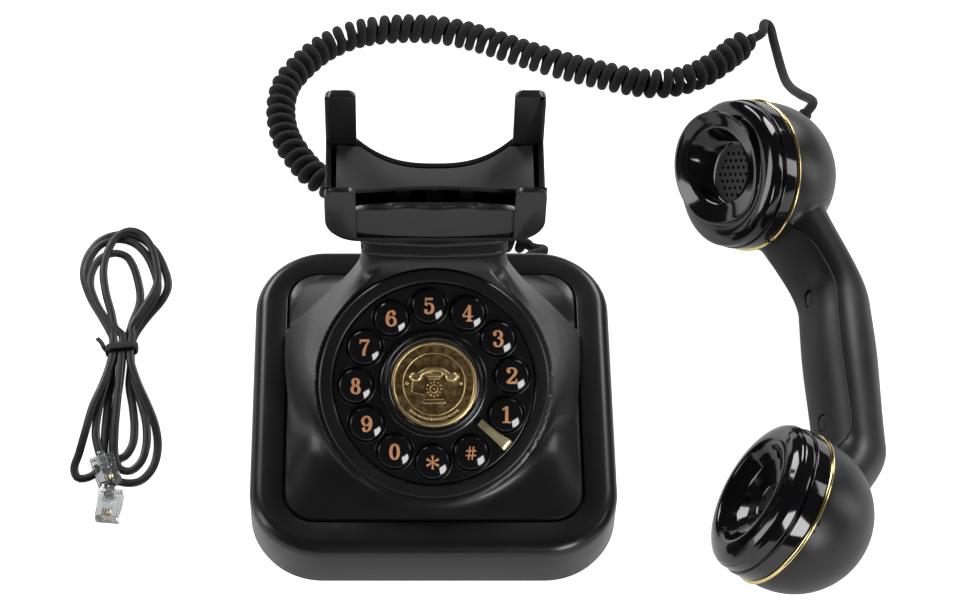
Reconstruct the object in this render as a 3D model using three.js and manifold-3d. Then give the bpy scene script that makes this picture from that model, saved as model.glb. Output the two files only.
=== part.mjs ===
// A push-button telephone in the French cradle style: a square base with a sloping dial, a cradle with four
// prongs on its neck, a handset lying off the hook, a curly handset cord and a tied line cord.
// Millimetres, +Z up. +Y is the back of the base. Each mesh is one physical piece.
import * as THREE from "three";
import { mergeVertices } from "three/addons/utils/BufferGeometryUtils.js";
import Module from "manifold-3d";

const wasm = await Module();
wasm.setup();

// ---- driving dimensions ----
const gap = 0.3; // clearance between pieces that touch
const wall = 2.2; // moulded wall
const baseWidth = 144;
const baseDepth = 144;
const baseCorner = 29; // plan corner radius of the base
const footHeight = 1.7;
const trayThickness = 3;
const plinthTop = 28; // height of the flat ledge round the case
const shoulderRadius = 5.3;
const ledgeWidth = 7.8; // flat part of the ledge
const grooveWidth = 1;
const caseCorner = 12; // plan corner radius of the case foot
const caseFootRise = 1.2; // how far the foot of the case stands over the ledge
const neckWidth = 55;
const neckFront = 18; // front face of the neck
const neckBack = 37;
const neckTop = 111.5;
const dialTilt = THREE.MathUtils.degToRad(36);
const dialCentre = new THREE.Vector3(0, -17.2, 61.6);
const bezelRadius = 44.5;
const bezelDepth = 2.7;
const faceRadius = 38.8;
const keyCircle = 30.2;
const keyRadius = 6.6;
const keyClearance = 0.6; // ring of air round a key
const keyTravel = 1.5;
const keyPitch = THREE.MathUtils.degToRad(29.2);
const firstKeyAngle = THREE.MathUtils.degToRad(113); // key 1, clockwise from the top
const medallionRadius = 16.7;
const medallionRimRadius = 21;
const stopAngle = THREE.MathUtils.degToRad(130);
const cradleWidth = 82.4;
const cradleFront = 14;
const cradleBack = 50;
const cradleWall = 2.1;
const cradleFloor = neckTop + 0.5; // the cradle's underside, a hair over the neck
const cradleCorner = 13; // lower outer corner radius of the cradle
const prongWidth = 11.6;
const frontProngTop = cradleFloor + 30.6;
const rearProngTop = cradleFloor + 46;
const sideWallTop = cradleFloor + 19;
const hookTop = cradleFloor + 18;
const hookThickness = 2.4;
const hookTravel = 4;
const hookSlot = 2;
const bulbRadius = 31;
const bulbSpacing = 164.7;
const shellWall = 2.4;
const handsetTilt = THREE.MathUtils.degToRad(60.7); // how far the handset lies over
const earToe = THREE.MathUtils.degToRad(13);
const mouthToe = THREE.MathUtils.degToRad(17);
const ringRadius = bulbRadius + 0.9;
const ringThickness = 1.6;
const earRingOffset = 3.4;
const mouthRingOffset = 5.6;
const coilRadius = 6.6; // outside of the curly cord
const wireRadius = 2.1;
const plugSize = new THREE.Vector3(9.65, 6.6, 12.5);

// ---- materials ----
const finish = (color, roughness, metalness = 0) =>
  new THREE.MeshStandardMaterial({ color, roughness, metalness });
const satinBlack = finish(0x17171a, 0.45);
const glossBlack = finish(0x0b0b0d, 0.12);
const dullBlack = finish(0x121212, 0.7);
const rubber = finish(0x1c1c1c, 0.9);
const greyPlate = finish(0x3a3a3c, 0.5);
const brass = finish(0x7a5a22, 0.35, 1);
const champagne = finish(0xb9a57c, 0.25, 1);
const gold = finish(0xd9b65a, 0.15, 1);
const steel = finish(0x9a9a9a, 0.35, 1);
const board = finish(0x1f5a33, 0.6);
const clearPlastic = finish(0xe6e8ea, 0.1);
const braid = finish(0x151515, 0.95);

// ---- geometry helpers ----
const point = (x, y, z) => new THREE.Vector3(x, y, z);

// A geometry with only positions, its shared corners merged and its faces pointing out.
function plain(geometry) {
  const bare = geometry.clone();
  bare.deleteAttribute("normal");
  bare.deleteAttribute("uv");
  const merged = mergeVertices(bare, 1e-4);
  const index = merged.index.array;
  const places = merged.attributes.position;
  const [a, b, c] = [point(0, 0, 0), point(0, 0, 0), point(0, 0, 0)];
  let volume = 0;
  for (let i = 0; i < index.length; i += 3) {
    a.fromBufferAttribute(places, index[i]);
    b.fromBufferAttribute(places, index[i + 1]);
    c.fromBufferAttribute(places, index[i + 2]);
    volume += a.dot(b.cross(c));
  }
  if (volume < 0) {
    for (let i = 0; i < index.length; i += 3) {
      [index[i + 1], index[i + 2]] = [index[i + 2], index[i + 1]];
    }
  }
  return merged;
}

function solid(geometry) {
  const merged = plain(geometry);
  return new wasm.Manifold(
    new wasm.Mesh({
      numProp: 3,
      vertProperties: new Float32Array(merged.attributes.position.array),
      triVerts: new Uint32Array(merged.index.array),
    }),
  );
}

function geometryOf(manifold) {
  const made = manifold.simplify(0.002).getMesh();
  const geometry = new THREE.BufferGeometry();
  geometry.setAttribute("position", new THREE.BufferAttribute(made.vertProperties, 3));
  geometry.setIndex(new THREE.BufferAttribute(made.triVerts, 1));
  return geometry;
}

const join = (first, ...rest) =>
  geometryOf(rest.reduce((sum, g) => sum.add(solid(g)), solid(first)));
const cut = (first, ...rest) =>
  geometryOf(rest.reduce((left, g) => left.subtract(solid(g)), solid(first)));
const common = (first, other) => geometryOf(solid(first).intersect(solid(other)));

function piece(name, geometry, material) {
  const shape = geometry.index ? geometry.toNonIndexed() : geometry;
  shape.computeVertexNormals();
  const mesh = new THREE.Mesh(shape, material);
  mesh.name = name;
  return mesh;
}

// A solid of revolution about Z from [radius, height] pairs that start and end on the axis.
function turned(profile, sides = 24) {
  const points = profile.map(([r, z]) => new THREE.Vector2(r, z));
  return plain(new THREE.LatheGeometry(points, sides).rotateX(Math.PI / 2));
}

// A ring of revolution about Z: the profile closes on itself.
const turnedRing = (profile, sides = 32) => turned([...profile, profile[0]], sides);

// Bands of points joined into one closed skin. A tube has two flat ends; a loop joins its last band to its first.
function skin(bands, loop = false) {
  const sides = bands[0].length;
  const places = bands.flat();
  const faces = [];
  const count = loop ? bands.length : bands.length - 1;
  for (let i = 0; i < count; i += 1) {
    const low = i * sides;
    const high = ((i + 1) % bands.length) * sides;
    for (let j = 0; j < sides; j += 1) {
      const k = (j + 1) % sides;
      faces.push(low + j, low + k, high + k, low + j, high + k, high + j);
    }
  }
  if (!loop) {
    for (const [start, flip] of [[0, true], [(bands.length - 1) * sides, false]]) {
      const band = places.slice(start, start + sides);
      const middle = band.reduce((sum, p) => sum.add(p), point(0, 0, 0)).divideScalar(sides);
      places.push(middle);
      for (let j = 0; j < sides; j += 1) {
        const [a, b] = [start + j, start + ((j + 1) % sides)];
        faces.push(places.length - 1, flip ? b : a, flip ? a : b);
      }
    }
  }
  const geometry = new THREE.BufferGeometry().setFromPoints(places);
  geometry.setIndex(faces);
  return plain(geometry);
}

// A rounded rectangle about the origin, counterclockwise, with arcs of a few steps.
function roundedOutline(halfX, halfY, radius, steps = 4) {
  const r = Math.max(0.01, Math.min(radius, halfX - 0.01, halfY - 0.01));
  const corners = [[1, 1, 0], [-1, 1, 1], [-1, -1, 2], [1, -1, 3]];
  return corners.flatMap(([sx, sy, quarter]) =>
    Array.from({ length: steps + 1 }, (_, i) => {
      const a = (quarter + i / steps) * (Math.PI / 2);
      return new THREE.Vector2(
        sx * (halfX - r) + r * Math.cos(a),
        sy * (halfY - r) + r * Math.sin(a),
      );
    }),
  );
}

const lift = (outline, z) => outline.map((p) => point(p.x, p.y, z));

function slab(outline, bottom, top) {
  return skin([lift(outline, bottom), lift(outline, top)]);
}

function box(x0, x1, y0, y1, z0, z1) {
  const size = new THREE.BoxGeometry(x1 - x0, y1 - y0, z1 - z0);
  return size.translate((x0 + x1) / 2, (y0 + y1) / 2, (z0 + z1) / 2);
}

function disc(radius, bottom, top, sides = 24) {
  return turned([[0, bottom], [radius, bottom], [radius, top], [0, top]], sides);
}

// A flat outline extruded straight, then turned so that the outline's x, y become world x, z.
function upright(points, y0, y1) {
  const outline = new THREE.Shape(points.map(([x, z]) => new THREE.Vector2(x, z)));
  const flat = new THREE.ExtrudeGeometry(outline, { depth: y1 - y0, bevelEnabled: false, curveSegments: 6 });
  return flat.rotateX(Math.PI / 2).translate(0, y1, 0);
}

// ---- base ----
const plinthBottom = footHeight + gap + trayThickness + gap;
const openingInset = shoulderRadius + ledgeWidth; // from the base side to the groove
const caseHalfX = baseWidth / 2 - openingInset - grooveWidth;
const caseHalfY = baseDepth / 2 - openingInset - grooveWidth;
const shelfWidth = 5.4;
const caseSeat = plinthTop - 2.4; // top of the shelf that carries the case
const screwX = baseWidth / 2 - openingInset - 3.9;
const screwY = baseDepth / 2 - openingInset - 3.9;
const screwHole = 1.8;
const postRadius = 4;
const corners = [[-1, -1], [1, -1], [-1, 1], [1, 1]];

// The base outline, moved in by an inset; its corner tightens towards the case.
function baseBand(inset, z) {
  const tighten = (baseCorner - caseCorner) / (openingInset + grooveWidth);
  const radius = Math.max(4, baseCorner - inset * tighten);
  return lift(roundedOutline(baseWidth / 2 - inset, baseDepth / 2 - inset, radius), z);
}

function tray() {
  const bottom = footHeight + gap;
  const plate = skin([
    baseBand(2.2, bottom),
    baseBand(1.0, bottom + 1),
    baseBand(0.7, bottom + trayThickness),
  ]);
  const holes = corners.flatMap(([sx, sy]) => [
    disc(screwHole + gap, 0, plinthBottom + 1, 12).translate(sx * screwX, sy * screwY, 0),
    disc(3.8, 0, bottom + 1.6, 12).translate(sx * screwX, sy * screwY, 0),
  ]);
  return piece("base_tray", cut(plate, ...holes), dullBlack);
}

function foot(index) {
  const [sx, sy] = corners[index];
  const shape = turned([[0, 0], [5.6, 0], [6.2, 0.5], [6.2, footHeight], [0, footHeight]], 14);
  shape.translate(sx * (screwX - 13), sy * (screwY - 11), 0);
  return piece(`foot_${index + 1}`, shape, rubber);
}

function trayScrew(index) {
  const [sx, sy] = corners[index];
  const head = footHeight + gap + 0.2;
  const shape = turned([[0, head], [3.4, head], [3.4, head + 1.1], [1.5, head + 1.1], [1.5, 15], [0, 15.8]], 8);
  shape.translate(sx * screwX, sy * screwY, 0);
  return piece(`tray_screw_${index + 1}`, shape, steel);
}

const jackX = -24;
const jackWidth = 14;
const jackHeight = 12;
const jackDepth = 15;
const jackBottom = 8;
const cordExit = point(40, baseDepth / 2, 11.5);
const grommetNeck = 3.4;

function plinth() {
  const arc = [0, 0.25, 0.5, 0.75, 1].map((t) => {
    const a = (t * Math.PI) / 2;
    return [shoulderRadius * (1 - Math.cos(a)), plinthTop - shoulderRadius * (1 - Math.sin(a))];
  });
  const profile = [
    [0, plinthBottom],
    ...arc,
    [openingInset, plinthTop],
    [openingInset, caseSeat],
    [openingInset + shelfWidth, caseSeat],
    [openingInset + shelfWidth, caseSeat - wall],
    [shoulderRadius, plinthTop - wall - 0.6],
    [wall, plinthTop - shoulderRadius],
    [wall, plinthBottom],
  ];
  const shell = skin(profile.map(([inset, z]) => baseBand(inset, z)), true);
  const posts = corners.map(([sx, sy]) =>
    disc(postRadius, plinthBottom + gap, caseSeat - 1, 12).translate(sx * screwX, sy * screwY, 0),
  );
  const bores = corners.map(([sx, sy]) =>
    disc(screwHole, 0, 17, 12).translate(sx * screwX, sy * screwY, 0),
  );
  const jackHole = box(
    jackX - jackWidth / 2 - gap, jackX + jackWidth / 2 + gap,
    baseDepth / 2 - 8, baseDepth / 2 + 5,
    jackBottom - gap, jackBottom + jackHeight + gap,
  );
  const cordHole = disc(grommetNeck + gap, -8, 5, 16).rotateX(-Math.PI / 2);
  cordHole.translate(cordExit.x, cordExit.y, cordExit.z);
  return piece("plinth_shell", cut(join(shell, ...posts), ...bores, jackHole, cordHole), satinBlack);
}

function ballast() {
  const bottom = footHeight + trayThickness + 2 * gap;
  return piece("ballast_plate", box(-42, 42, -50, -8, bottom, bottom + 3.5), steel);
}

function mainBoard() {
  const bottom = footHeight + trayThickness + 2 * gap;
  const sheet = box(-38, 38, 2, 44, bottom + 2.5, bottom + 4.1);
  const standoff = (x, y) => disc(2.4, bottom, bottom + 3, 10).translate(x, y, 0);
  const chip = box(-9, 9, 16, 30, bottom + 3.6, bottom + 6.2);
  const parts = [standoff(-34, 6), standoff(34, 6), standoff(-34, 40), standoff(34, 40), chip];
  return piece("main_board", join(sheet, ...parts), board);
}

function ringer() {
  const bottom = footHeight + trayThickness + 2 * gap + 3.5 + gap;
  const shape = turned([[0, 0], [14, 0], [15, 1], [15, 6], [10, 8.5], [5, 8.5], [5, 7], [0, 7]], 24);
  return piece("ringer", shape.translate(0, -29, bottom), dullBlack);
}

function lineJack() {
  const back = baseDepth / 2 - 0.4;
  const body = box(
    jackX - jackWidth / 2, jackX + jackWidth / 2,
    back - jackDepth, back,
    jackBottom, jackBottom + jackHeight,
  );
  const socket = box(jackX - 5.1, jackX + 5.1, back - 12, back + 4, jackBottom + 2, jackBottom + 9);
  const latchSlot = box(jackX - 2, jackX + 2, back - 9, back + 4, jackBottom + 8, jackBottom + 10.6);
  return piece("line_jack", cut(body, join(socket, latchSlot)), dullBlack);
}

function baseGrommet() {
  const profile = [
    [wireRadius + gap, -4], [grommetNeck + 1.4, -4], [grommetNeck + 1.4, -wall - gap],
    [grommetNeck, -wall - gap], [grommetNeck, gap], [grommetNeck + 1, gap],
    [grommetNeck + 0.6, 1.8], [wireRadius + 1, 5], [wireRadius + gap, 5],
  ];
  const shape = turnedRing(profile, 12).rotateX(-Math.PI / 2);
  return piece("base_cord_grommet", shape.translate(cordExit.x, cordExit.y, cordExit.z), rubber);
}

// ---- upper case ----
// A field that is negative inside the case: a concave-sided pyramid that becomes the neck, joined softly to the
// round boss under the dial.
const caseAxisY = 27; // the upright line that the case is drawn round
const flareTop = 100; // height where the flare has become the neck
const bossRadius = 46.2;
const bossFlare = 0.3;
const bossBack = 28; // the boss runs back no further than this
const blendWidth = 7;

function flareAt(z) {
  const footTop = plinthTop + caseFootRise;
  const t = Math.min(1, Math.max(0, (z - footTop) / (flareTop - footTop)));
  return { side: (1 - t) ** 2.6, front: (1 - t) ** 2.1, corner: Math.sin(Math.PI * t) };
}

function pyramidField(x, y, z) {
  const { side, front, corner } = flareAt(z);
  const halfX = neckWidth / 2 + (caseHalfX - neckWidth / 2) * side;
  const lean = neckFront + Math.max(0, neckTop - z) * 0.09;
  const frontY = lean - (caseHalfY + lean) * front;
  const backY = neckBack + (caseHalfY - neckBack) * side;
  const halfY = (backY - frontY) / 2;
  const power = 7 - 3.4 * corner;
  const u = Math.abs(x) / halfX;
  const v = Math.abs(y - (backY + frontY) / 2) / halfY;
  return ((u ** power + v ** power) ** (1 / power) - 1) * Math.min(halfX, halfY);
}

function bossField(x, y, z) {
  const [dy, dz] = [y - dialCentre.y, z - dialCentre.z];
  const along = dy * Math.cos(dialTilt) + dz * Math.sin(dialTilt);
  const above = -dy * Math.sin(dialTilt) + dz * Math.cos(dialTilt) + bezelDepth + gap;
  return Math.max(Math.hypot(x, along) - bossRadius + bossFlare * above, above, y - bossBack);
}

function caseField(x, y, z) {
  const a = pyramidField(x, y, z);
  const b = bossField(x, y, z);
  const h = Math.max(blendWidth - Math.abs(a - b), 0);
  return Math.min(a, b) - (h * h) / (4 * blendWidth);
}

// The outermost point of the case in one direction from its upright axis.
function caseReach(angle, z) {
  const [c, s] = [Math.cos(angle), Math.sin(angle)];
  const inside = (r) => caseField(r * c, caseAxisY + r * s, z) < 0;
  let outer = 100;
  while (!inside(outer) && outer > 1) outer -= 1;
  let [low, high] = [outer, outer + 1];
  for (let i = 0; i < 18; i += 1) {
    const middle = (low + high) / 2;
    if (inside(middle)) low = middle;
    else high = middle;
  }
  return low;
}

const caseSides = 36;

function caseBand(z, shrink = 0, levelShift = 0) {
  return Array.from({ length: caseSides }, (_, i) => {
    const angle = (i / caseSides) * 2 * Math.PI;
    const r = caseReach(angle, z + levelShift) - shrink;
    return point(r * Math.cos(angle), caseAxisY + r * Math.sin(angle), z);
  });
}

// The foot of the case is a rounded square; its band has the same number of points as the others.
function footBand(inset, z) {
  const outline = roundedOutline(caseHalfX - inset, caseHalfY - inset, caseCorner - inset, 24);
  return Array.from({ length: caseSides }, (_, i) => {
    const angle = (i / caseSides) * 2 * Math.PI;
    const [c, s] = [Math.cos(angle), Math.sin(angle)];
    let reach = 0;
    outline.forEach((p, k) => {
      const q = outline[(k + 1) % outline.length];
      const [px, py, qx, qy] = [p.x, p.y - caseAxisY, q.x, q.y - caseAxisY];
      const [ex, ey] = [qx - px, qy - py];
      const across = c * ey - s * ex;
      if (Math.abs(across) < 1e-9) return;
      const r = (px * ey - py * ex) / across;
      const t = (px * s - py * c) / across;
      if (r > 0 && t >= 0 && t <= 1) reach = Math.max(reach, r);
    });
    return point(reach * c, caseAxisY + reach * s, z);
  });
}

function upperCase() {
  const seat = caseSeat + gap;
  const levels = [33, 37, 42, 48, 54, 60, 67, 74.1, 81, 88, 95, 103];
  const outer = skin([
    footBand(0, seat),
    footBand(0, plinthTop + 0.3),
    footBand(0.9, plinthTop + caseFootRise),
    ...levels.map((z) => caseBand(z)),
    caseBand(105, -0.2),
    caseBand(107, -0.9),
    caseBand(109, -0.2),
    caseBand(neckTop),
  ]);
  const inner = skin([
    footBand(wall + 2, seat - 1),
    footBand(wall + 2.4, plinthTop - 0.6),
    ...[31, 36, 43, 51, 60, 70, 80, 90].map((z) => caseBand(z, 1.6, 2.4)),
    caseBand(neckTop - 3, 2),
  ]);
  const dialFrame = (geometry) =>
    geometry.rotateX(dialTilt).translate(dialCentre.x, dialCentre.y, dialCentre.z);
  const pocket = dialFrame(disc(bezelRadius + gap, -bezelDepth - gap, 30, 32));
  const window = dialFrame(disc(faceRadius + gap, -18, 0, 32));
  return piece("upper_case", cut(outer, inner, pocket, window, ...legHoles(neckTop - 8, neckTop + 5)), satinBlack);
}

// ---- dial: drawn flat about its own centre, +Z out of the face ----
const keyNames = ["1", "2", "3", "4", "5", "6", "7", "8", "9", "0", "star", "hash"];
const keyAngle = (index) => firstKeyAngle - index * keyPitch;
const faceTop = -0.9;
const faceThickness = 2;

// A place on the dial from its angle, clockwise from the top, and its radius.
const onDial = (angle, radius) =>
  new THREE.Vector2(radius * Math.sin(angle), radius * Math.cos(angle));

function bezel() {
  const profile = [
    [faceRadius + gap, -bezelDepth], [bezelRadius, -bezelDepth], [bezelRadius, -0.8],
    [bezelRadius - 0.8, 0], [faceRadius + 0.9, 0], [faceRadius + gap, -0.5],
  ];
  return piece("dial_bezel", turnedRing(profile, 32), satinBlack);
}

function dialFace() {
  const low = faceTop - faceThickness;
  const holes = keyNames.map((_, i) => {
    const c = onDial(keyAngle(i), keyCircle);
    return disc(keyRadius + keyClearance, low - 1, faceTop + 1, 12).translate(c.x, c.y, 0);
  });
  const tip = onDial(stopAngle, faceRadius - 1.4);
  const slot = box(-2.9, 2.9, -0.9, 0.9, low - 1, 2).rotateZ(-stopAngle).translate(tip.x, tip.y, 0);
  const seat = disc(medallionRimRadius - 2.6, faceTop - 1, 2, 28);
  return piece("dial_face", cut(disc(faceRadius, low, faceTop, 36), ...holes, slot, seat), glossBlack);
}

function medallionRim() {
  const low = faceTop + gap;
  const profile = [
    [medallionRadius + gap, low], [medallionRimRadius, low], [medallionRimRadius, low + 0.9],
    [medallionRimRadius - 1.6, low + 2], [medallionRadius + 1.6, low + 2], [medallionRadius + gap, low + 1.4],
  ];
  return piece("medallion_rim", turnedRing(profile, 24), satinBlack);
}

function medallion() {
  const low = faceTop - 1 + gap;
  const shape = turned([
    [0, low], [medallionRadius, low], [medallionRadius, low + 2.3], [medallionRadius - 0.9, low + 2.7],
    [medallionRadius - 1.6, low + 2.1], [0, low + 2.1],
  ], 24);
  return piece("medallion", shape, brass);
}

function fingerStop() {
  const [inner, outer] = [22.9, faceRadius - 1];
  const [low, high] = [faceTop + 1.6, faceTop + 2.5];
  const blade = skin([
    [point(-1.35, inner, low), point(1.35, inner, low), point(1.35, inner, high), point(-1.35, inner, high)],
    [point(-1.6, 33, low), point(1.6, 33, low), point(1.6, 33, high), point(-1.6, 33, high)],
    [point(-2.5, outer, low), point(2.5, outer, low), point(2.5, outer, high), point(-2.5, outer, high)],
  ]);
  const leg = box(-2.5, 2.5, outer - 0.9, outer, -4.2, high - 0.1);
  return piece("finger_stop", join(blade, leg).rotateZ(-stopAngle), champagne);
}

function key(index) {
  const c = onDial(keyAngle(index), keyCircle);
  const r = keyRadius;
  const flange = faceTop - faceThickness - gap;
  const shape = turned([
    [0, flange - 2.6], [r - 2, flange - 1.2], [r + 1, flange - 1.2], [r + 1, flange],
    [r, flange], [r, 0.7], [r - 2, 1.9], [0, 2.4],
  ], 12);
  return piece(`key_${keyNames[index]}`, shape.translate(c.x, c.y, 0), glossBlack);
}

const matTop = faceTop - faceThickness - gap - 2.6 - keyTravel - gap;

function keypadMat() {
  const sheet = disc(faceRadius - 1.5, matTop - 1.2, matTop, 18);
  return piece("keypad_mat", sheet, rubber);
}

function keypadBoard() {
  return piece("keypad_board", disc(faceRadius - 1.5, matTop - 3.1, matTop - 1.5, 18), board);
}

function dial() {
  const group = new THREE.Group();
  group.position.copy(dialCentre);
  group.rotation.x = dialTilt;
  group.add(bezel(), dialFace(), medallionRim(), medallion(), fingerStop(), keypadMat(), keypadBoard());
  keyNames.forEach((_, index) => group.add(key(index)));
  return group;
}

// ---- cradle and hook ----
const hookLegX = 12;
const hookLegY = 29;
const half = cradleWidth / 2;
const rearCurveMiddle = 38; // where the rear wall comes furthest forward
const legHalf = 2.6;

// The two holes that the legs of the hook plate pass through.
function legHoles(bottom, top) {
  const r = legHalf + 0.8;
  return [-hookLegX, hookLegX].map((x) => box(x - r, x + r, hookLegY - r, hookLegY + r, bottom, top));
}

// The front view of the cradle's trough, moved in by an inset: floor, round lower corners and straight sides.
function troughOutline(inset, top) {
  const r = cradleCorner - inset;
  const arc = [0, 0.25, 0.5, 0.75, 1].map((t) => {
    const a = (t * Math.PI) / 2;
    return [half - cradleCorner + r * Math.sin(a), cradleFloor + cradleCorner - r * Math.cos(a)];
  });
  const right = [...arc, [half - inset, top]];
  return [...right, ...right.map(([x, z]) => [-x, z]).reverse()];
}

// The rear wall in plan: a bow that comes forward between the rear prongs.
const rearReach = half - prongWidth - 0.1;

function rearCurve(offset, steps = 10) {
  return Array.from({ length: steps + 1 }, (_, i) => {
    const x = rearReach * (1 - (2 * i) / steps);
    const t = Math.abs(x) / rearReach;
    return new THREE.Vector2(x, rearCurveMiddle + (cradleBack - rearCurveMiddle) * t ** 2.6 + offset);
  });
}

// One block, hollowed to a trough and cut away between and over its four prongs.
function cradleFrame() {
  const plate = 2.3; // thickness of a front prong
  const rearPlate = 3.4;
  const panelTop = cradleFloor + 18.6;
  const panelFront = cradleFront + 2;
  const panelBack = cradleFront + 4.2;
  const between = half - prongWidth;
  const over = rearProngTop + 5;
  const pocket = [
    new THREE.Vector2(-half, cradleFront + plate), new THREE.Vector2(-between, cradleFront + plate),
    new THREE.Vector2(-between, panelBack), new THREE.Vector2(between, panelBack),
    new THREE.Vector2(between, cradleFront + plate), new THREE.Vector2(half, cradleFront + plate),
    new THREE.Vector2(half, cradleBack - rearPlate), new THREE.Vector2(between + 0.2, cradleBack - rearPlate),
    ...rearCurve(-1.8).filter((p) => p.y < cradleBack - rearPlate - 0.5),
    new THREE.Vector2(-between - 0.2, cradleBack - rearPlate), new THREE.Vector2(-half, cradleBack - rearPlate),
  ];
  const hollow = common(
    upright(troughOutline(cradleWall, over + 1), cradleFront - 9, cradleBack + 9),
    slab(pocket, cradleFloor + 1, over),
  );
  const behind = [
    ...rearCurve(0), new THREE.Vector2(-rearReach, cradleBack + 5), new THREE.Vector2(rearReach, cradleBack + 5),
  ].reverse();
  const shape = cut(
    upright(troughOutline(0, rearProngTop), cradleFront, cradleBack),
    hollow,
    slab(behind, cradleFloor - 5, over),
    box(-between, between, cradleFront - 1, panelFront, cradleFloor + cradleWall, over),
    box(-between, between, cradleFront - 2, panelBack + 1, panelTop, over),
    box(-half - 2, half + 2, cradleFront - 3, cradleFront + plate + 1.3, frontProngTop, over + 1),
    box(-half - 3, half + 3, cradleFront + plate + 0.02, cradleBack - rearPlate - 0.02, sideWallTop, over + 2),
    box(-between, between, 30, cradleBack + 1, hookTop - 0.8, over + 3),
    ...legHoles(cradleFloor - 6, cradleFloor + 6),
  );
  return piece("cradle_frame", shape, satinBlack);
}

function hookPlate() {
  const x = half - cradleWall - hookSlot;
  const front = 26.2;
  const outline = [
    new THREE.Vector2(x, front), new THREE.Vector2(x, cradleBack - 3.4 - 0.6),
    ...rearCurve(-3.2).filter((p) => p.y < cradleBack - 4.2),
    new THREE.Vector2(-x, cradleBack - 3.4 - 0.6), new THREE.Vector2(-x, front),
    new THREE.Vector2(-20, front + 0.4), new THREE.Vector2(0, front - 0.6), new THREE.Vector2(20, front + 0.4),
  ];
  const plate = slab(outline, hookTop - hookThickness, hookTop);
  const leg = (side) => box(
    side * hookLegX - legHalf, side * hookLegX + legHalf, hookLegY - legHalf, hookLegY + legHalf,
    neckTop - 6, hookTop - hookThickness + 0.5,
  );
  return piece("hook_plate", join(plate, leg(1), leg(-1)), greyPlate);
}

// A wire spring round the middle post of the hook, kept as a plain sleeve.
const springBottom = cradleFloor + cradleWall + gap;
const springTop = hookTop - hookThickness - gap;

function hookSpring() {
  const profile = [[3.2, springBottom], [4.4, springBottom], [4.4, springTop], [3.2, springTop]];
  return piece("hook_spring", turnedRing(profile, 14).translate(0, hookLegY + 1.4, 0), steel);
}

function hookSwitch() {
  const top = neckTop - 6 - hookTravel - 0.6;
  const body = box(-14.6, 14.6, hookLegY - 4, hookLegY + 4, top - 9, top - 1);
  const plungers = [-1, 1].map((side) => disc(1.6, top - 2, top, 10).translate(side * hookLegX, hookLegY, 0));
  return piece("hook_switch", join(body, ...plungers), dullBlack);
}

// ---- handset: drawn about the middle between its bulbs. +Y runs to the mouth end, +Z is the way the caps face ----
const earY = -bulbSpacing / 2;
const mouthY = bulbSpacing / 2;
const smooth = (t) => {
  const c = Math.min(1, Math.max(0, t));
  return c * c * (3 - 2 * c);
};

// The grip's middle line and half sizes at a place along the handset.
function gripAt(y) {
  const rise = 24 * smooth((y - 24) / 52) + 21 * smooth((-y - 46) / 38);
  const swell = Math.exp(-((y / 24) ** 2));
  return { z: -31.6 + rise, halfZ: 12 + 1.2 * swell + 0.12 * rise, halfX: 15.2 + 0.5 * swell + 0.1 * rise };
}

function grip(inset, from, to, steps = 14, sides = 14) {
  return skin(Array.from({ length: steps + 1 }, (_, i) => {
    const y = from + ((to - from) * i) / steps;
    const { z, halfZ, halfX } = gripAt(y);
    return Array.from({ length: sides }, (_, j) => {
      const a = (j / sides) * 2 * Math.PI;
      const [c, s] = [Math.cos(a), Math.sin(a)];
      const round = (v) => Math.sign(v) * Math.abs(v) ** 0.85;
      return point((halfX - inset) * round(c), y, z + (halfZ - inset) * round(s));
    });
  }));
}

function ball(radius, y) {
  return plain(new THREE.SphereGeometry(radius, 18, 11).rotateX(Math.PI / 2).translate(0, y, 0));
}

// Everything in front of an end's ring plane: a block in that end's own frame.
function atEnd(geometry, y, toe, offset) {
  return geometry.translate(0, 0, offset).rotateX(toe).translate(0, y, 0);
}

const insertEnds = [-52, 56];
const insertHalf = 12.6;

// The space of the grip's front insert: straight sides and round ends, down to the grip's middle line.
function insertBlock(extra) {
  const [from, to] = [insertEnds[0] - extra, insertEnds[1] + extra];
  const r = insertHalf + extra;
  const stops = [0, 0.06, 0.3, 0.7, 1];
  const nearEnd = stops.map((t) => from + t * r);
  const farEnd = stops.map((t) => to - t * r).reverse();
  const between = Array.from({ length: 7 }, (_, i) => from + r + ((to - from - 2 * r) * (i + 1)) / 8);
  return skin([...nearEnd, ...between, ...farEnd].map((y) => {
    const fromEnd = Math.min(y - from, to - y, r);
    const w = Math.max(1, Math.sqrt(r * r - (r - fromEnd) ** 2));
    const floor = gripAt(y).z + 1 - extra;
    return [point(w, y, floor), point(w, y, 20), point(-w, y, 20), point(-w, y, floor)];
  }));
}

function handsetBack() {
  const cap = (y, toe, offset) => atEnd(disc(60, 0, 70, 8), y, toe, offset);
  const outer = cut(
    join(ball(bulbRadius, earY), ball(bulbRadius, mouthY), grip(0, earY + 6, mouthY - 6)),
    cap(earY, -earToe, earRingOffset),
    cap(mouthY, mouthToe, mouthRingOffset),
  );
  const hollow = join(
    ball(bulbRadius - shellWall, earY),
    ball(bulbRadius - shellWall, mouthY),
    grip(shellWall, earY + 14, mouthY - 14, 10, 10),
  );
  const cordHole = disc(grommetNeck + gap, -10, 10, 14).applyMatrix4(grommetPlace());
  return piece("handset_back", cut(outer, hollow, insertBlock(gap), cordHole), satinBlack);
}

const screwPlaces = [-34.9, 25.5];
const plugDepth = 2.5;

// Where the front of the grip stands at a place along it.
const gripFront = (y) => gripAt(y).z + gripAt(y).halfZ;

function screwPlug(name, y) {
  const outline = roundedOutline(2.4, 3.7, 2.35, 5);
  return piece(name, slab(outline, gripFront(y) - plugDepth, gripFront(y) - 0.2).translate(0, y, 0), satinBlack);
}

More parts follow.
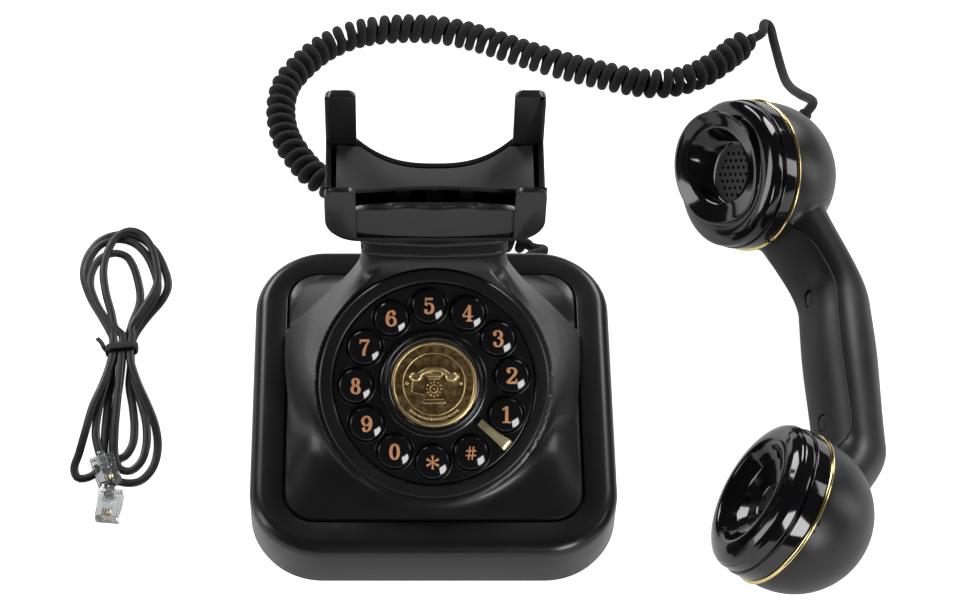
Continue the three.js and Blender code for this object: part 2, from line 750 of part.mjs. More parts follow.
function handsetFront() {
  const shell = cut(common(grip(0, earY + 6, mouthY - 6), insertBlock(0)), grip(shellWall, earY + 8, mouthY - 8, 12, 10));
  const bosses = screwPlaces.map((y) => disc(4.6, gripAt(y).z - 2, gripFront(y) - 1.5, 12).translate(0, y, 0));
  const bores = screwPlaces.flatMap((y) => [
    disc(1.8, gripAt(y).z - 9, gripFront(y) + 3, 10).translate(0, y, 0),
    slab(roundedOutline(2.7, 4, 2.6, 5), gripFront(y) - plugDepth - gap, gripFront(y) + 3).translate(0, y, 0),
    disc(3, gripFront(y) - plugDepth - 3, gripFront(y) + 3, 10).translate(0, y, 0),
  ]);
  return piece("handset_front", cut(join(shell, ...bosses), ...bores), satinBlack);
}

function handsetScrew(name, y) {
  const head = gripFront(y) - plugDepth - gap - 0.2;
  const tip = gripAt(y).z - 8;
  const shape = turned([[0, tip], [1.4, tip + 0.6], [1.4, head - 1.6], [2.6, head - 1.6], [2.6, head], [0, head]], 12);
  return piece(name, shape.translate(0, y, 0), steel);
}

function goldRing(name, y, toe, offset) {
  const profile = [
    [ringRadius - 3.4, gap], [ringRadius - 0.5, gap], [ringRadius, gap + 0.5],
    [ringRadius, ringThickness - 0.2], [ringRadius - 0.5, ringThickness + gap - 0.1],
    [ringRadius - 3.4, ringThickness + gap - 0.1],
  ];
  return piece(name, atEnd(turnedRing(profile, 28), y, toe, offset), gold);
}

const capBase = ringThickness + 2 * gap;
const capRadius = ringRadius - 0.7;

function earCap() {
  const z = capBase;
  const profile = [
    [capRadius - 2.6, z], [capRadius, z], [capRadius, z + 5.8], [capRadius - 1, z + 6.2], [capRadius - 1, z + 6.8],
    [capRadius - 0.6, z + 7], [capRadius - 1, z + 10.8], [capRadius - 1.6, z + 11.9], [capRadius - 2.6, z + 12.8],
    [capRadius - 5, z + 14.2], [23.6, z + 15.2], [21.4, z + 14.9], [19, z + 11.9], [16.4, z + 9.2], [12.6, z + 6.9],
    [8.6, z + 5.2], [0, z + 5.2], [0, z + 3.2], [11, z + 3.4], [18.5, z + 7], [24, z + 11], [capRadius - 2.6, z + 10],
  ];
  const holes = [disc(0.9, 0, 30, 6)];
  for (let i = 0; i < 6; i += 1) {
    const a = (i * Math.PI) / 3;
    holes.push(disc(0.9, 0, 30, 6).translate(6.1 * Math.cos(a), 6.1 * Math.sin(a), 0));
  }
  return piece("ear_cap", atEnd(cut(turned(orient(profile), 24), ...holes), earY, -earToe, earRingOffset), glossBlack);
}

// A profile whose axis points lie in its middle, turned round so that it starts and ends on the axis.
function orient(profile) {
  const start = profile.findIndex(([r], i) => r === 0 && profile[(i + 1) % profile.length][0] === 0) + 1;
  return [...profile.slice(start), ...profile.slice(0, start)];
}

const hornTurn = THREE.MathUtils.degToRad(105); // direction of the horn's tall side in the cap's own plane

// One band of the mouth horn: its rim leans out on its tall side.
function hornBand(radius, low, high, lean) {
  return Array.from({ length: 20 }, (_, i) => {
    const a = (i / 20) * 2 * Math.PI;
    const tall = (1 + Math.cos(a - hornTurn)) / 2;
    return point(
      radius * Math.cos(a) + lean * Math.cos(hornTurn),
      radius * Math.sin(a) + lean * Math.sin(hornTurn),
      low + (high - low) * tall,
    );
  });
}

function mouthCap() {
  const z = capBase;
  const body = turned(orient([
    [capRadius - 2.6, z], [capRadius, z], [capRadius, z + 5.8], [capRadius - 1, z + 6.2], [capRadius - 1, z + 6.8],
    [capRadius - 0.6, z + 7], [capRadius - 1, z + 10.8], [capRadius - 2.6, z + 11.8], [capRadius - 4.7, z + 12.4],
    [0, z + 12.4], [0, z + 5], [20, z + 5], [capRadius - 2.6, z + 9],
  ]), 24);
  const horn = skin([
    hornBand(22.3, z + 11.5, z + 11.5, 0.2), hornBand(22.9, z + 12.8, z + 15.4, 1.4),
    hornBand(23.2, z + 13.2, z + 19.4, 3.2),
  ]);
  const mouth = skin([
    hornBand(13, z + 7, z + 7, 0.4), hornBand(15.6, z + 10, z + 17, 4.4), hornBand(21.9, z + 13.3, z + 19.5, 3.5),
    hornBand(22, z + 16, z + 24, 3.6),
  ]);
  const holes = [];
  for (let i = 0; i < 7; i += 1) {
    const a = (i * Math.PI) / 3;
    const r = i === 6 ? 0 : 7;
    holes.push(disc(1.1, 0, 30, 6).translate(r * Math.cos(a), r * Math.sin(a), 0));
  }
  const shape = cut(join(body, horn), mouth, ...holes);
  return piece("mouth_cap", atEnd(shape, mouthY, mouthToe, mouthRingOffset), glossBlack);
}

function capsule(name, radius, y, toe, offset) {
  const shape = turned([[0, -6], [radius - 2, -6], [radius, -4], [radius, 1], [0, 1]], 20);
  return piece(name, atEnd(shape, y, toe, offset), steel);
}

const grommetAim = point(0.33, 0.83, -0.45).normalize();

// Puts a shape drawn about +Z on the mouth bulb, where the cord comes in.
function grommetPlace() {
  const turn = new THREE.Quaternion().setFromUnitVectors(point(0, 0, 1), grommetAim);
  const seat = grommetAim.clone().multiplyScalar(bulbRadius).add(point(0, mouthY, 0));
  return new THREE.Matrix4().compose(seat, turn, point(1, 1, 1));
}

const grommetLength = 7;

function handsetGrommet() {
  const profile = [
    [wireRadius + gap, -4.6], [grommetNeck + 1.2, -4.6], [grommetNeck + 1.2, -shellWall - 1.2],
    [grommetNeck, -shellWall - 1.2], [grommetNeck, 0.7], [grommetNeck + 0.8, 0.7], [grommetNeck + 0.3, 3],
    [wireRadius + 1, grommetLength], [wireRadius + gap, grommetLength],
  ];
  return piece("handset_grommet", turnedRing(profile, 14).applyMatrix4(grommetPlace()), rubber);
}

const handsetPlace = point(138.9, 25, bulbRadius + 0.25);

function handset() {
  const group = new THREE.Group();
  group.position.copy(handsetPlace);
  group.rotation.y = -handsetTilt;
  group.add(
    handsetBack(), handsetFront(),
    goldRing("ear_ring", earY, -earToe, earRingOffset),
    goldRing("mouth_ring", mouthY, mouthToe, mouthRingOffset),
    earCap(), mouthCap(),
    capsule("receiver", 18, earY, -earToe, earRingOffset),
    capsule("microphone", 14, mouthY, mouthToe, mouthRingOffset),
    handsetScrew("handset_screw_ear", screwPlaces[0]),
    handsetScrew("handset_screw_mouth", screwPlaces[1]),
    screwPlug("screw_plug_ear", screwPlaces[0]),
    screwPlug("screw_plug_mouth", screwPlaces[1]),
    handsetGrommet(),
  );
  return group;
}

// ---- cords ----
// A round tube along a list of points, with a step count to suit its length.
function tube(points, radius, sides, steps) {
  const path = new THREE.CatmullRomCurve3(points, false, "centripetal");
  const ring = new THREE.Shape(Array.from({ length: sides }, (_, i) => {
    const a = ((i + 0.5) / sides) * 2 * Math.PI;
    return new THREE.Vector2(radius * Math.cos(a), radius * Math.sin(a));
  }));
  return new THREE.ExtrudeGeometry(ring, { steps, extrudePath: path, bevelEnabled: false });
}

const coilRoute = [
  [42.6, 88.1], [31, 94.5], [19, 100], [5, 105.5], [-12, 110.5], [-32, 116], [-48.3, 125], [-57.6, 137],
  [-62.6, 147], [-64.9, 157], [-65.1, 167], [-62.9, 177.3], [-57.3, 186.5], [-48.6, 196.4], [-39.7, 202.6],
  [-30.8, 206.5], [-17.5, 208.9], [-3.9, 209.2], [9.5, 207.4], [22.8, 203.2], [40.5, 195.4], [58.1, 188.3],
  [75.6, 182.5], [93.1, 178], [101.9, 177.4], [110.9, 178.9], [120, 183], [129.3, 190], [138.8, 198.9],
  [146, 204],
];

function curlyCord() {
  const points = coilRoute.map(([x, y]) => point(x, y, coilRadius + 0.1));
  return piece("curly_cord", tube(points, coilRadius, 8, 44), braid);
}

function baseLead() {
  const points = [
    point(40, 77.4, 11.5), point(40.8, 79.6, 11.2), point(44, 82.2, 10), point(47.4, 84.6, 8.4),
    point(47.6, 86.6, 7.2), point(45.6, 87.1, 6.8), point(43.3, 87.8, 6.7),
  ];
  return piece("cord_lead_base", tube(points, wireRadius, 8, 8), braid);
}

function handsetLead() {
  const aim = grommetAim.clone().applyAxisAngle(point(0, 1, 0), -handsetTilt);
  const mouth = point(0, mouthY, 0).add(handsetPlace);
  const from = (reach) => mouth.clone().addScaledVector(aim, bulbRadius + reach);
  const points = [
    from(grommetLength + gap), from(grommetLength + 6), point(160.4, 158, 23), point(158.8, 170, 12.5),
    point(157.7, 180, 5.8), point(156.8, 190, 2.7), point(155.7, 199, 2.4), point(154.7, 207, 2.4),
    point(154.1, 212.4, 2.5), point(152.9, 215, 3), point(151.2, 214.6, 4), point(150.3, 211.8, 5.2),
    point(149.9, 208.8, 6.1), point(148.5, 206.1, 6.5), point(146.5, 204.5, 6.7),
  ];
  return piece("cord_lead_handset", tube(points, wireRadius, 8, 30), braid);
}

// The tied line cord: two loops of a bow that meet at the tie, as one flat solid.
const hankLeft = [
  [-128.4, 33.4], [-130.2, 24], [-134, 12], [-137.5, 0], [-139.5, -10], [-143.2, -18], [-142.6, -24.5],
  [-139.4, -25.2], [-138.7, -12.2],
];
const hankRight = [
  [-124.1, -12.2], [-123.8, -24.4], [-118, -25.2], [-112.4, -21.5], [-109.6, -13], [-110.6, -2], [-114.5, 10],
  [-119.4, 22], [-124, 33.4],
];
const hankTop = [
  [-124, 42.6], [-117.5, 54], [-110, 68], [-108.2, 76], [-112, 83], [-117, 92], [-124, 98.4], [-132, 100.6],
  [-139.5, 97], [-146, 88], [-148, 76], [-145, 62], [-138.5, 50], [-132.4, 42.6],
];
const hankLow = 0.1;
const hankThickness = 5.8;
const tieThickness = 0.9;
const tiePlace = point(-128.2, 38, 0);

function lineHank() {
  const outline = [...hankLeft, ...hankRight, ...hankTop].map(([x, y]) => new THREE.Vector2(x, y));
  const flat = new THREE.ExtrudeGeometry(new THREE.Shape(outline), { depth: hankThickness, bevelEnabled: false });
  const hole = new THREE.Shape([
    [-130.4, 60], [-122, 62], [-119.6, 72], [-123, 82], [-131, 87], [-138.4, 84], [-137.4, 74],
  ].map(([x, y]) => new THREE.Vector2(x, y)));
  const opening = new THREE.ExtrudeGeometry(hole, { depth: 20, bevelEnabled: false }).translate(0, 0, -5);
  const underTie = box(tiePlace.x - 9, tiePlace.x + 9, tiePlace.y - 2, tiePlace.y + 2, -1, hankLow + tieThickness + gap);
  return piece("line_hank", cut(flat.translate(0, 0, hankLow), opening, underTie), rubber);
}

// A twist tie round the waist of the hank: a flat band with round corners.
function cordTie() {
  const [low, high] = [hankLow, hankLow + hankThickness + tieThickness + gap];
  const inside = (high - low) / 2 - tieThickness;
  const band = (grow) => slab(roundedOutline(5.9 + grow, inside + grow, inside + grow - 0.2, 4), -1.4 - grow, 1.4 + grow);
  const ring = cut(slab(roundedOutline(5.9 + tieThickness, inside + tieThickness, inside, 4), -1.4, 1.4), band(0.01));
  ring.rotateX(Math.PI / 2).translate(tiePlace.x, tiePlace.y, (low + high) / 2);
  return piece("cord_tie", ring, dullBlack);
}

// A modular plug along +Y: a clear block with a stepped nose and a latch over it.
function linePlug(name) {
  const { x: w, y: h, z: l } = plugSize;
  const block = box(-w / 2, w / 2, -l / 2, l / 2, 0, h);
  const latch = box(-1.7, 1.7, -l / 2 - 1, l / 2 - 2, h - 0.4, h + 1);
  const inlet = box(-1.9, 1.9, l / 2 - 6, l / 2 + 3, 1.8, 4.6);
  return piece(name, cut(join(block, latch), inlet), clearPlastic);
}

function plugs() {
  const first = linePlug("line_plug_a");
  first.position.set(-131.2, -21.2, 0.4);
  first.rotation.z = THREE.MathUtils.degToRad(20);
  const second = linePlug("line_plug_b");
  second.position.set(-129, -37.4, 0.4);
  second.rotation.z = THREE.MathUtils.degToRad(-6);
  return [first, second];
}

// ---- assembly ----
const telephone = new THREE.Group();
const cords = [curlyCord(), baseLead(), handsetLead(), lineHank(), cordTie(), ...plugs()];
telephone.add(
  tray(), plinth(), upperCase(), ballast(), mainBoard(), ringer(), lineJack(), baseGrommet(),
  ...corners.map((_, i) => foot(i)),
  ...corners.map((_, i) => trayScrew(i)),
  dial(), cradleFrame(), hookPlate(), hookSpring(), hookSwitch(), handset(),
);

// The origin is the bottom centre of the telephone and its handset, without the free cords.
telephone.updateMatrixWorld(true);
const bounds = new THREE.Box3().setFromObject(telephone, true);
const centre = bounds.getCenter(point(0, 0, 0));
telephone.add(...cords);
telephone.position.set(-centre.x, -centre.y, -bounds.min.z);

export default telephone;
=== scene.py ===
# %% [markdown]
# A cradle telephone, lesson by lesson. The sizes and places of every piece come from a packed engineering
# model, the frame. This script gives each piece its fine surface and its finish. All lengths here are in
# millimetres from the middle of the telephone's base, on the table, until the last step of making a mesh.

# %% Load the frame
import math

import bpy
import bmesh
import numpy as np
from mathutils import Matrix, Vector


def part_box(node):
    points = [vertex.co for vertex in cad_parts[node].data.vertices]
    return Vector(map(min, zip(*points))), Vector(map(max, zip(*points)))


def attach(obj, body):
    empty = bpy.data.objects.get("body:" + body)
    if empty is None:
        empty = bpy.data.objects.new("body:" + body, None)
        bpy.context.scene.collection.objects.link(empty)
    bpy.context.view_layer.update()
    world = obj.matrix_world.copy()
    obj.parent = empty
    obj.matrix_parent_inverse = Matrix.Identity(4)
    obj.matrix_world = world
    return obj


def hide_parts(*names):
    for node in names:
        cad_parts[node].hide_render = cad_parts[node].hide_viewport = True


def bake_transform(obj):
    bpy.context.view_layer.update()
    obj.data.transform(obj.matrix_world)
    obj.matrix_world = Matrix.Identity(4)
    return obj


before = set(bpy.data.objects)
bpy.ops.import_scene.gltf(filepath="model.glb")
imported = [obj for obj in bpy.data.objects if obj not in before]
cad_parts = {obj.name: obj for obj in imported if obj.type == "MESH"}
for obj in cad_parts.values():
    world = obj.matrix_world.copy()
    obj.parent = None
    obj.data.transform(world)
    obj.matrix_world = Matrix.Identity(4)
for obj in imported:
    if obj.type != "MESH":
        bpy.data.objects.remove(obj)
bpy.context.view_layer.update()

low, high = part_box("base_tray")
HOME = Vector(((low[0] + high[0]) / 2, (low[1] + high[1]) / 2, 0.0))
print("base centre", [round(c, 4) for c in HOME])


def place(x, y, z):
    """A point given in millimetres from the base centre, as the frame's metres."""
    return Vector((x, y, z)) * 0.001 + HOME


# %% [markdown]
# The camera comes first, because everything after it is judged through it. A long lens from well above the
# front edge keeps the square base nearly square. The lens is shifted sideways, so that the telephone stands
# left of the middle while its upright lines stay parallel.

# %% Camera
CAMERA_PLACE = (-14.26, -609.4, 963.76)
CAMERA_TILT = math.radians(55)  # below the horizon
FOCAL_LENGTH = 103.77
SIDE_SHIFT = 0.0907

camera_data = bpy.data.cameras.new("studio_camera")
camera_data.lens = FOCAL_LENGTH
camera_data.sensor_width = 36
camera_data.shift_x = SIDE_SHIFT
camera_data.clip_end = 20
camera = bpy.data.objects.new("studio_camera", camera_data)
camera.location = place(*CAMERA_PLACE)
camera.rotation_euler = (math.pi / 2 - CAMERA_TILT, 0, 0)
bpy.context.scene.collection.objects.link(camera)
bpy.context.scene.camera = camera
bpy.context.scene.view_settings.view_transform = "Standard"
print("camera at", [round(c, 3) for c in camera.location])

# %% [markdown]
# Most pieces of a telephone are turned or moulded: their skin is a row of closed bands of points, one after
# the other. One helper joins such bands to a mesh. A second one turns a profile about an axis. Both take an
# optional matrix, which puts a piece that is drawn flat on the tilted dial or on the handset.

# %% Mesh helpers
def to_object(name, mesh, finish=None, sharp=35):
    """A finished mesh becomes an object: smooth, with edges sharper than an angle left crisp."""
    mesh.polygons.foreach_set("use_smooth", [True] * len(mesh.polygons))
    mesh.set_sharp_from_angle(angle=math.radians(sharp))
    made = bpy.data.objects.new(name, mesh)
    if finish is not None:
        mesh.materials.clear()
        mesh.materials.append(finish)
    bpy.context.scene.collection.objects.link(made)
    return made


def mesh_from(name, points, faces, matrix=None):
    """A mesh from millimetre points, turned so that its faces look out."""
    spots = np.asarray(points, dtype=float).reshape(-1, 3)
    if matrix is not None:
        spots = spots @ np.array(matrix)[:3, :3].T + np.array(matrix)[:3, 3]
    mesh = bpy.data.meshes.new(name)
    mesh.from_pydata((spots * 0.001 + np.array(HOME)).tolist(), [], [tuple(f) for f in faces])
    mesh.validate()
    work = bmesh.new()
    work.from_mesh(mesh)
    bmesh.ops.remove_doubles(work, verts=work.verts, dist=1e-7)
    bmesh.ops.recalc_face_normals(work, faces=work.faces)
    work.to_mesh(mesh)
    work.free()
    return mesh


def bands_mesh(name, bands, loop=False, matrix=None):
    """Bands of equally many points, joined to a skin; a loop joins the last band to the first."""
    bands = np.asarray(bands, dtype=float)
    count, sides = bands.shape[:2]
    steps = count if loop else count - 1
    row, col = np.meshgrid(np.arange(steps), np.arange(sides), indexing="ij")
    a, b = row * sides + col, row * sides + (col + 1) % sides
    c, d = ((row + 1) % count) * sides + (col + 1) % sides, ((row + 1) % count) * sides + col
    faces = np.stack([a, b, c, d], axis=-1).reshape(-1, 4).tolist()
    if not loop:
        faces.append(list(range(sides - 1, -1, -1)))
        faces.append([(count - 1) * sides + i for i in range(sides)])
    return mesh_from(name, bands.reshape(-1, 3), faces, matrix)


def soften(profile, radius, steps=4, closed=False):
    """Rounds the corners of a flat outline by arcs of up to the given radius."""
    points = [np.array(p, dtype=float) for p in profile]
    made = []
    for i, here in enumerate(points):
        if not closed and i in (0, len(points) - 1):
            made.append(here)
            continue
        before, after = points[i - 1] - here, points[(i + 1) % len(points)] - here
        reach = min(radius, 0.45 * np.linalg.norm(before), 0.45 * np.linalg.norm(after))
        start = here + before / (np.linalg.norm(before) + 1e-9) * reach
        end = here + after / (np.linalg.norm(after) + 1e-9) * reach
        for k in range(steps + 1):
            t = k / steps
            made.append((1 - t) ** 2 * start + 2 * t * (1 - t) * here + t**2 * end)
    return made


def turned(name, profile, sides=96, matrix=None, radius=0.4, closed=False):
    """A profile of [radius, height] pairs turned about Z."""
    outline = np.array(soften(profile, radius, closed=closed))
    angles = np.arange(sides) / sides * 2 * math.pi
    bands = [
        np.stack([r * np.cos(angles), r * np.sin(angles), np.full(sides, z)], axis=-1)
        for r, z in outline
    ]
    return bands_mesh(name, bands, loop=closed, matrix=matrix)


def rounded_square(half_x, half_y, radius, steps=14):
    """The points of a rounded rectangle about the origin."""
    radius = max(0.01, min(radius, half_x - 0.01, half_y - 0.01))
    made = []
    for quarter, (sx, sy) in enumerate([(1, 1), (-1, 1), (-1, -1), (1, -1)]):
        for i in range(steps + 1):
            a = (quarter + i / steps) * math.pi / 2
            x = sx * (half_x - radius) + radius * math.cos(a)
            made.append((x, sy * (half_y - radius) + radius * math.sin(a)))
    return np.array(made)


def lift(outline, z):
    outline = np.asarray(outline)
    return np.column_stack([outline, np.full(len(outline), z)])


def carve(target, *cutters, mode="DIFFERENCE"):
    """Cuts or joins meshes with a Boolean; returns the new mesh. The cutters are used up."""
    body = bpy.data.objects.new("carve_body", target)
    bpy.context.scene.collection.objects.link(body)
    tools = []
    for cutter in cutters:
        tool = bpy.data.objects.new("carve_tool", cutter)
        bpy.context.scene.collection.objects.link(tool)
        modifier = body.modifiers.new("carve", "BOOLEAN")
        modifier.operation = mode
        modifier.solver = "EXACT"
        modifier.object = tool
        tools.append(tool)
    result = bpy.data.meshes.new_from_object(body.evaluated_get(bpy.context.evaluated_depsgraph_get()))
    for used in [body, *tools]:
        bpy.data.objects.remove(used)
    result.name = target.name
    return result


def bevelled(piece, width, segments=3, angle=38):
    """Rounds a piece's sharp edges by a Bevel modifier, applied at once."""
    modifier = piece.modifiers.new("edges", "BEVEL")
    modifier.width = width * 0.001
    modifier.segments = segments
    modifier.limit_method = "ANGLE"
    modifier.angle_limit = math.radians(angle)
    modifier.harden_normals = False
    made = bpy.data.meshes.new_from_object(piece.evaluated_get(bpy.context.evaluated_depsgraph_get()))
    piece.modifiers.clear()
    piece.data = made
    made.polygons.foreach_set("use_smooth", [True] * len(made.polygons))
    made.set_sharp_from_angle(angle=math.radians(60))
    return piece


def block(name, x0, x1, y0, y1, z0, z1, matrix=None):
    corners = [(x, y, z) for z in (z0, z1) for x, y in ((x0, y0), (x1, y0), (x1, y1), (x0, y1))]
    sides = [(0, 3, 2, 1), (4, 5, 6, 7), (0, 1, 5, 4), (1, 2, 6, 5), (2, 3, 7, 6), (3, 0, 4, 7)]
    return mesh_from(name, corners, sides, matrix)


def rod(name, radius, z0, z1, sides=48, matrix=None):
    angles = np.arange(sides) / sides * 2 * math.pi
    ring = np.stack([radius * np.cos(angles), radius * np.sin(angles)], axis=-1)
    return bands_mesh(name, [lift(ring, z0), lift(ring, z1)], matrix=matrix)


def hand_over(piece, body, slot, *nodes):
    """Says which body a piece rides on and which frame nodes it replaces. The slot argument, the finish it
    stands for, is not used.
    """
    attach(piece, body)
    if nodes:
        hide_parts(*nodes)
    return piece


# %% [markdown]
# Finishes are node trees. Each starts from a Principled shader, and small noises on Object coordinates vary
# its roughness and lift its surface a little, because no moulding or plating is perfectly even. Colours and
# numbers that are the same all over are set on the shader itself.

# %% Finish helpers
def new_finish(name, colour, roughness, metallic=0.0, coat=0.0, coat_roughness=0.05, level=0.5):
    """A material and its shader, with the values that don't change over the surface."""
    material = bpy.data.materials.new(name)
    material.use_nodes = True
    shader = material.node_tree.nodes["Principled BSDF"]
    shader.inputs["Base Color"].default_value = (*colour, 1)
    shader.inputs["Roughness"].default_value = roughness
    shader.inputs["Metallic"].default_value = metallic
    shader.inputs["Specular IOR Level"].default_value = level
    shader.inputs["Coat Weight"].default_value = coat
    shader.inputs["Coat Roughness"].default_value = coat_roughness
    return material, shader


def noise(material, scale, detail=3.0, space="Object"):
    """A noise on the piece's own coordinates; scale is per metre."""
    tree = material.node_tree
    where = tree.nodes.new("ShaderNodeTexCoord")
    made = tree.nodes.new("ShaderNodeTexNoise")
    made.inputs["Scale"].default_value = scale
    made.inputs["Detail"].default_value = detail
    tree.links.new(where.outputs[space], made.inputs["Vector"])
    return made


def ramp(material, source, stops):
    """A colour ramp from positions and grey levels or colours."""
    made = material.node_tree.nodes.new("ShaderNodeValToRGB")
    while len(made.color_ramp.elements) < len(stops):
        made.color_ramp.elements.new(0.5)
    for element, (position, value) in zip(made.color_ramp.elements, stops):
        element.position = position
        element.color = (value, value, value, 1) if isinstance(value, float) else (*value, 1)
    material.node_tree.links.new(source, made.inputs["Fac"])
    return made


def bump(material, shader, height, strength, distance):
    """Lifts the surface by a height texture; distance is in metres."""
    made = material.node_tree.nodes.new("ShaderNodeBump")
    made.inputs["Strength"].default_value = strength
    made.inputs["Distance"].default_value = distance
    material.node_tree.links.new(height, made.inputs["Height"])
    material.node_tree.links.new(made.outputs["Normal"], shader.inputs["Normal"])
    return made


def moulded(name, colour, low_rough, high_rough, grain_scale, grain, coat=0.0, level=0.5):
    """Moulded plastic: a clouded sheen over a fine grain."""
    material, shader = new_finish(name, colour, low_rough, coat=coat, level=level)
    clouds = noise(material, 55, 4.0)
    sheen = ramp(material, clouds.outputs["Fac"], [(0.3, low_rough), (0.7, high_rough)])
    material.node_tree.links.new(sheen.outputs["Color"], shader.inputs["Roughness"])
    skin = noise(material, grain_scale, 2.0)
    bump(material, shader, skin.outputs["Fac"], 1.0, grain)
    return material


# %% Finishes
SATIN = moulded(
    "satin_black_moulding", (0.010, 0.010, 0.011), 0.28, 0.36, 1400, 0.000012, coat=0.1, level=0.42
)
CASE_SATIN = moulded(
    "case_black_moulding", (0.010, 0.010, 0.011), 0.31, 0.40, 1400, 0.000014, coat=0.12, level=0.42
)
GRIP_SATIN = moulded("grip_black_moulding", (0.011, 0.011, 0.012), 0.34, 0.44, 1600, 0.00002, level=0.42)
INSERT = moulded("insert_black_moulding", (0.016, 0.016, 0.017), 0.42, 0.52, 2600, 0.00003, level=0.42)
DULL = moulded("dull_black_moulding", (0.012, 0.012, 0.012), 0.55, 0.7, 1500, 0.00002)
GLOSS = moulded("glossy_black_moulding", (0.004, 0.004, 0.005), 0.06, 0.11, 300, 0.000004, coat=0.3)
FACE = moulded("dial_face_moulding", (0.008, 0.008, 0.009), 0.16, 0.24, 500, 0.000006, coat=0.3)
KEY = moulded("key_black_moulding", (0.006, 0.006, 0.007), 0.05, 0.09, 260, 0.000003, coat=0.5)
PLATE = moulded("grey_plate_moulding", (0.055, 0.055, 0.058), 0.42, 0.52, 2200, 0.00003)
RUBBER = moulded("black_rubber", (0.014, 0.014, 0.014), 0.62, 0.78, 2200, 0.00004)
print(
    "plastics",
    [m.name for m in (SATIN, CASE_SATIN, GRIP_SATIN, INSERT, DULL, GLOSS, FACE, KEY, PLATE, RUBBER)]
)

# %% [markdown]
# The metals carry the eye: two polished rings, an old brass medallion and a pale finger stop. Polished metal
# gets its life from a slight cloudiness in the roughness. The medallion's patina is a mix of two colours by a
# noise, darker where it is rough, as brass is where polish never reaches.

# %% Metals
def metal(name, colour, low_rough, high_rough, scale=90, lines=None):
    material, shader = new_finish(name, colour, low_rough, metallic=1.0)
    clouds = noise(material, scale, 5.0)
    sheen = ramp(material, clouds.outputs["Fac"], [(0.35, low_rough), (0.65, high_rough)])
    material.node_tree.links.new(sheen.outputs["Color"], shader.inputs["Roughness"])
    if lines:
        brushed = noise(material, lines, 2.0)
        bump(material, shader, brushed.outputs["Fac"], 0.6, 0.00002)
    return material


GOLD = metal("polished_gold_brass", (0.93, 0.74, 0.33), 0.10, 0.20)
CHAMPAGNE = metal("champagne_brass", (0.86, 0.74, 0.42), 0.26, 0.36, lines=900)
BRIGHT_BRASS = metal("medallion_bright_brass", (0.86, 0.66, 0.33), 0.26, 0.38)
STEEL = metal("plain_steel", (0.42, 0.42, 0.43), 0.28, 0.40)
CONTACT = metal("contact_gold", (0.90, 0.68, 0.28), 0.12, 0.2)


def patina():
    """Old brass: dark brown in the open, brass where it was rubbed."""
    material, shader = new_finish("antique_brass_patina", (0.2, 0.13, 0.05), 0.45, metallic=0.85)
    blots = noise(material, 420, 6.0)
    tone = ramp(material, blots.outputs["Fac"], [
        (0.30, (0.050, 0.028, 0.011)), (0.47, (0.120, 0.072, 0.028)), (0.60, (0.230, 0.150, 0.062)),
        (0.74, (0.330, 0.240, 0.120)),
    ])
    material.node_tree.links.new(tone.outputs["Color"], shader.inputs["Base Color"])
    rough = ramp(material, blots.outputs["Fac"], [(0.3, 0.62), (0.75, 0.36)])
    material.node_tree.links.new(rough.outputs["Color"], shader.inputs["Roughness"])
    bump(material, shader, noise(material, 900, 4.0).outputs["Fac"], 0.5, 0.00006)
    return material


PATINA = patina()


def ink():
    """Printed characters: a warm peach enamel, hardly lifted."""
    material, shader = new_finish("peach_enamel", (0.80, 0.37, 0.17), 0.42)
    tone = ramp(
        material, noise(material, 800).outputs["Fac"],
        [(0.3, (0.74, 0.33, 0.15)), (0.7, (0.84, 0.40, 0.19))]
    )
    material.node_tree.links.new(tone.outputs["Color"], shader.inputs["Base Color"])
    return material


INK = ink()


def clear_plastic():
    """Clear moulded plastic, as of a modular plug: light passes with a faint haze."""
    material, shader = new_finish("clear_plug_plastic", (0.93, 0.95, 0.96), 0.06)
    shader.inputs["Transmission Weight"].default_value = 0.92
    shader.inputs["IOR"].default_value = 1.49
    haze = ramp(material, noise(material, 300).outputs["Fac"], [(0.3, 0.04), (0.7, 0.14)])
    material.node_tree.links.new(haze.outputs["Color"], shader.inputs["Roughness"])
    return material


CLEAR = clear_plastic()
print("metals", [m.name for m in (GOLD, CHAMPAGNE, BRIGHT_BRASS, STEEL, CONTACT, PATINA)])

# %% [markdown]
# The base is one moulded shell: an upright wall, a quarter-round shoulder and a flat ledge that runs round
# the foot of the upper case, with a narrow groove between them. Its plan is a square with round corners that
# tighten towards the middle, so each band is worked out from how far it lies inside the wall.

# %% Base shell
BASE = 144.0
BASE_CORNER = 29.0
CASE_CORNER = 12.0
FOOT_HEIGHT = 1.7
GAP = 0.3
TRAY_THICKNESS = 3.0
SHELL_BOTTOM = FOOT_HEIGHT + GAP + TRAY_THICKNESS + GAP
LEDGE_TOP = 28.0
SHOULDER = 5.3
LEDGE_INSET = SHOULDER + 7.8  # from the wall to the groove
GROOVE = 1.0
CASE_HALF = BASE / 2 - LEDGE_INSET - GROOVE
CASE_SEAT = LEDGE_TOP - 2.4


def base_band(inset, z):
    tighten = (BASE_CORNER - CASE_CORNER) / (LEDGE_INSET + GROOVE)
    radius = max(4.0, BASE_CORNER - inset * tighten)
    return lift(rounded_square(BASE / 2 - inset, BASE / 2 - inset, radius, 24), z)


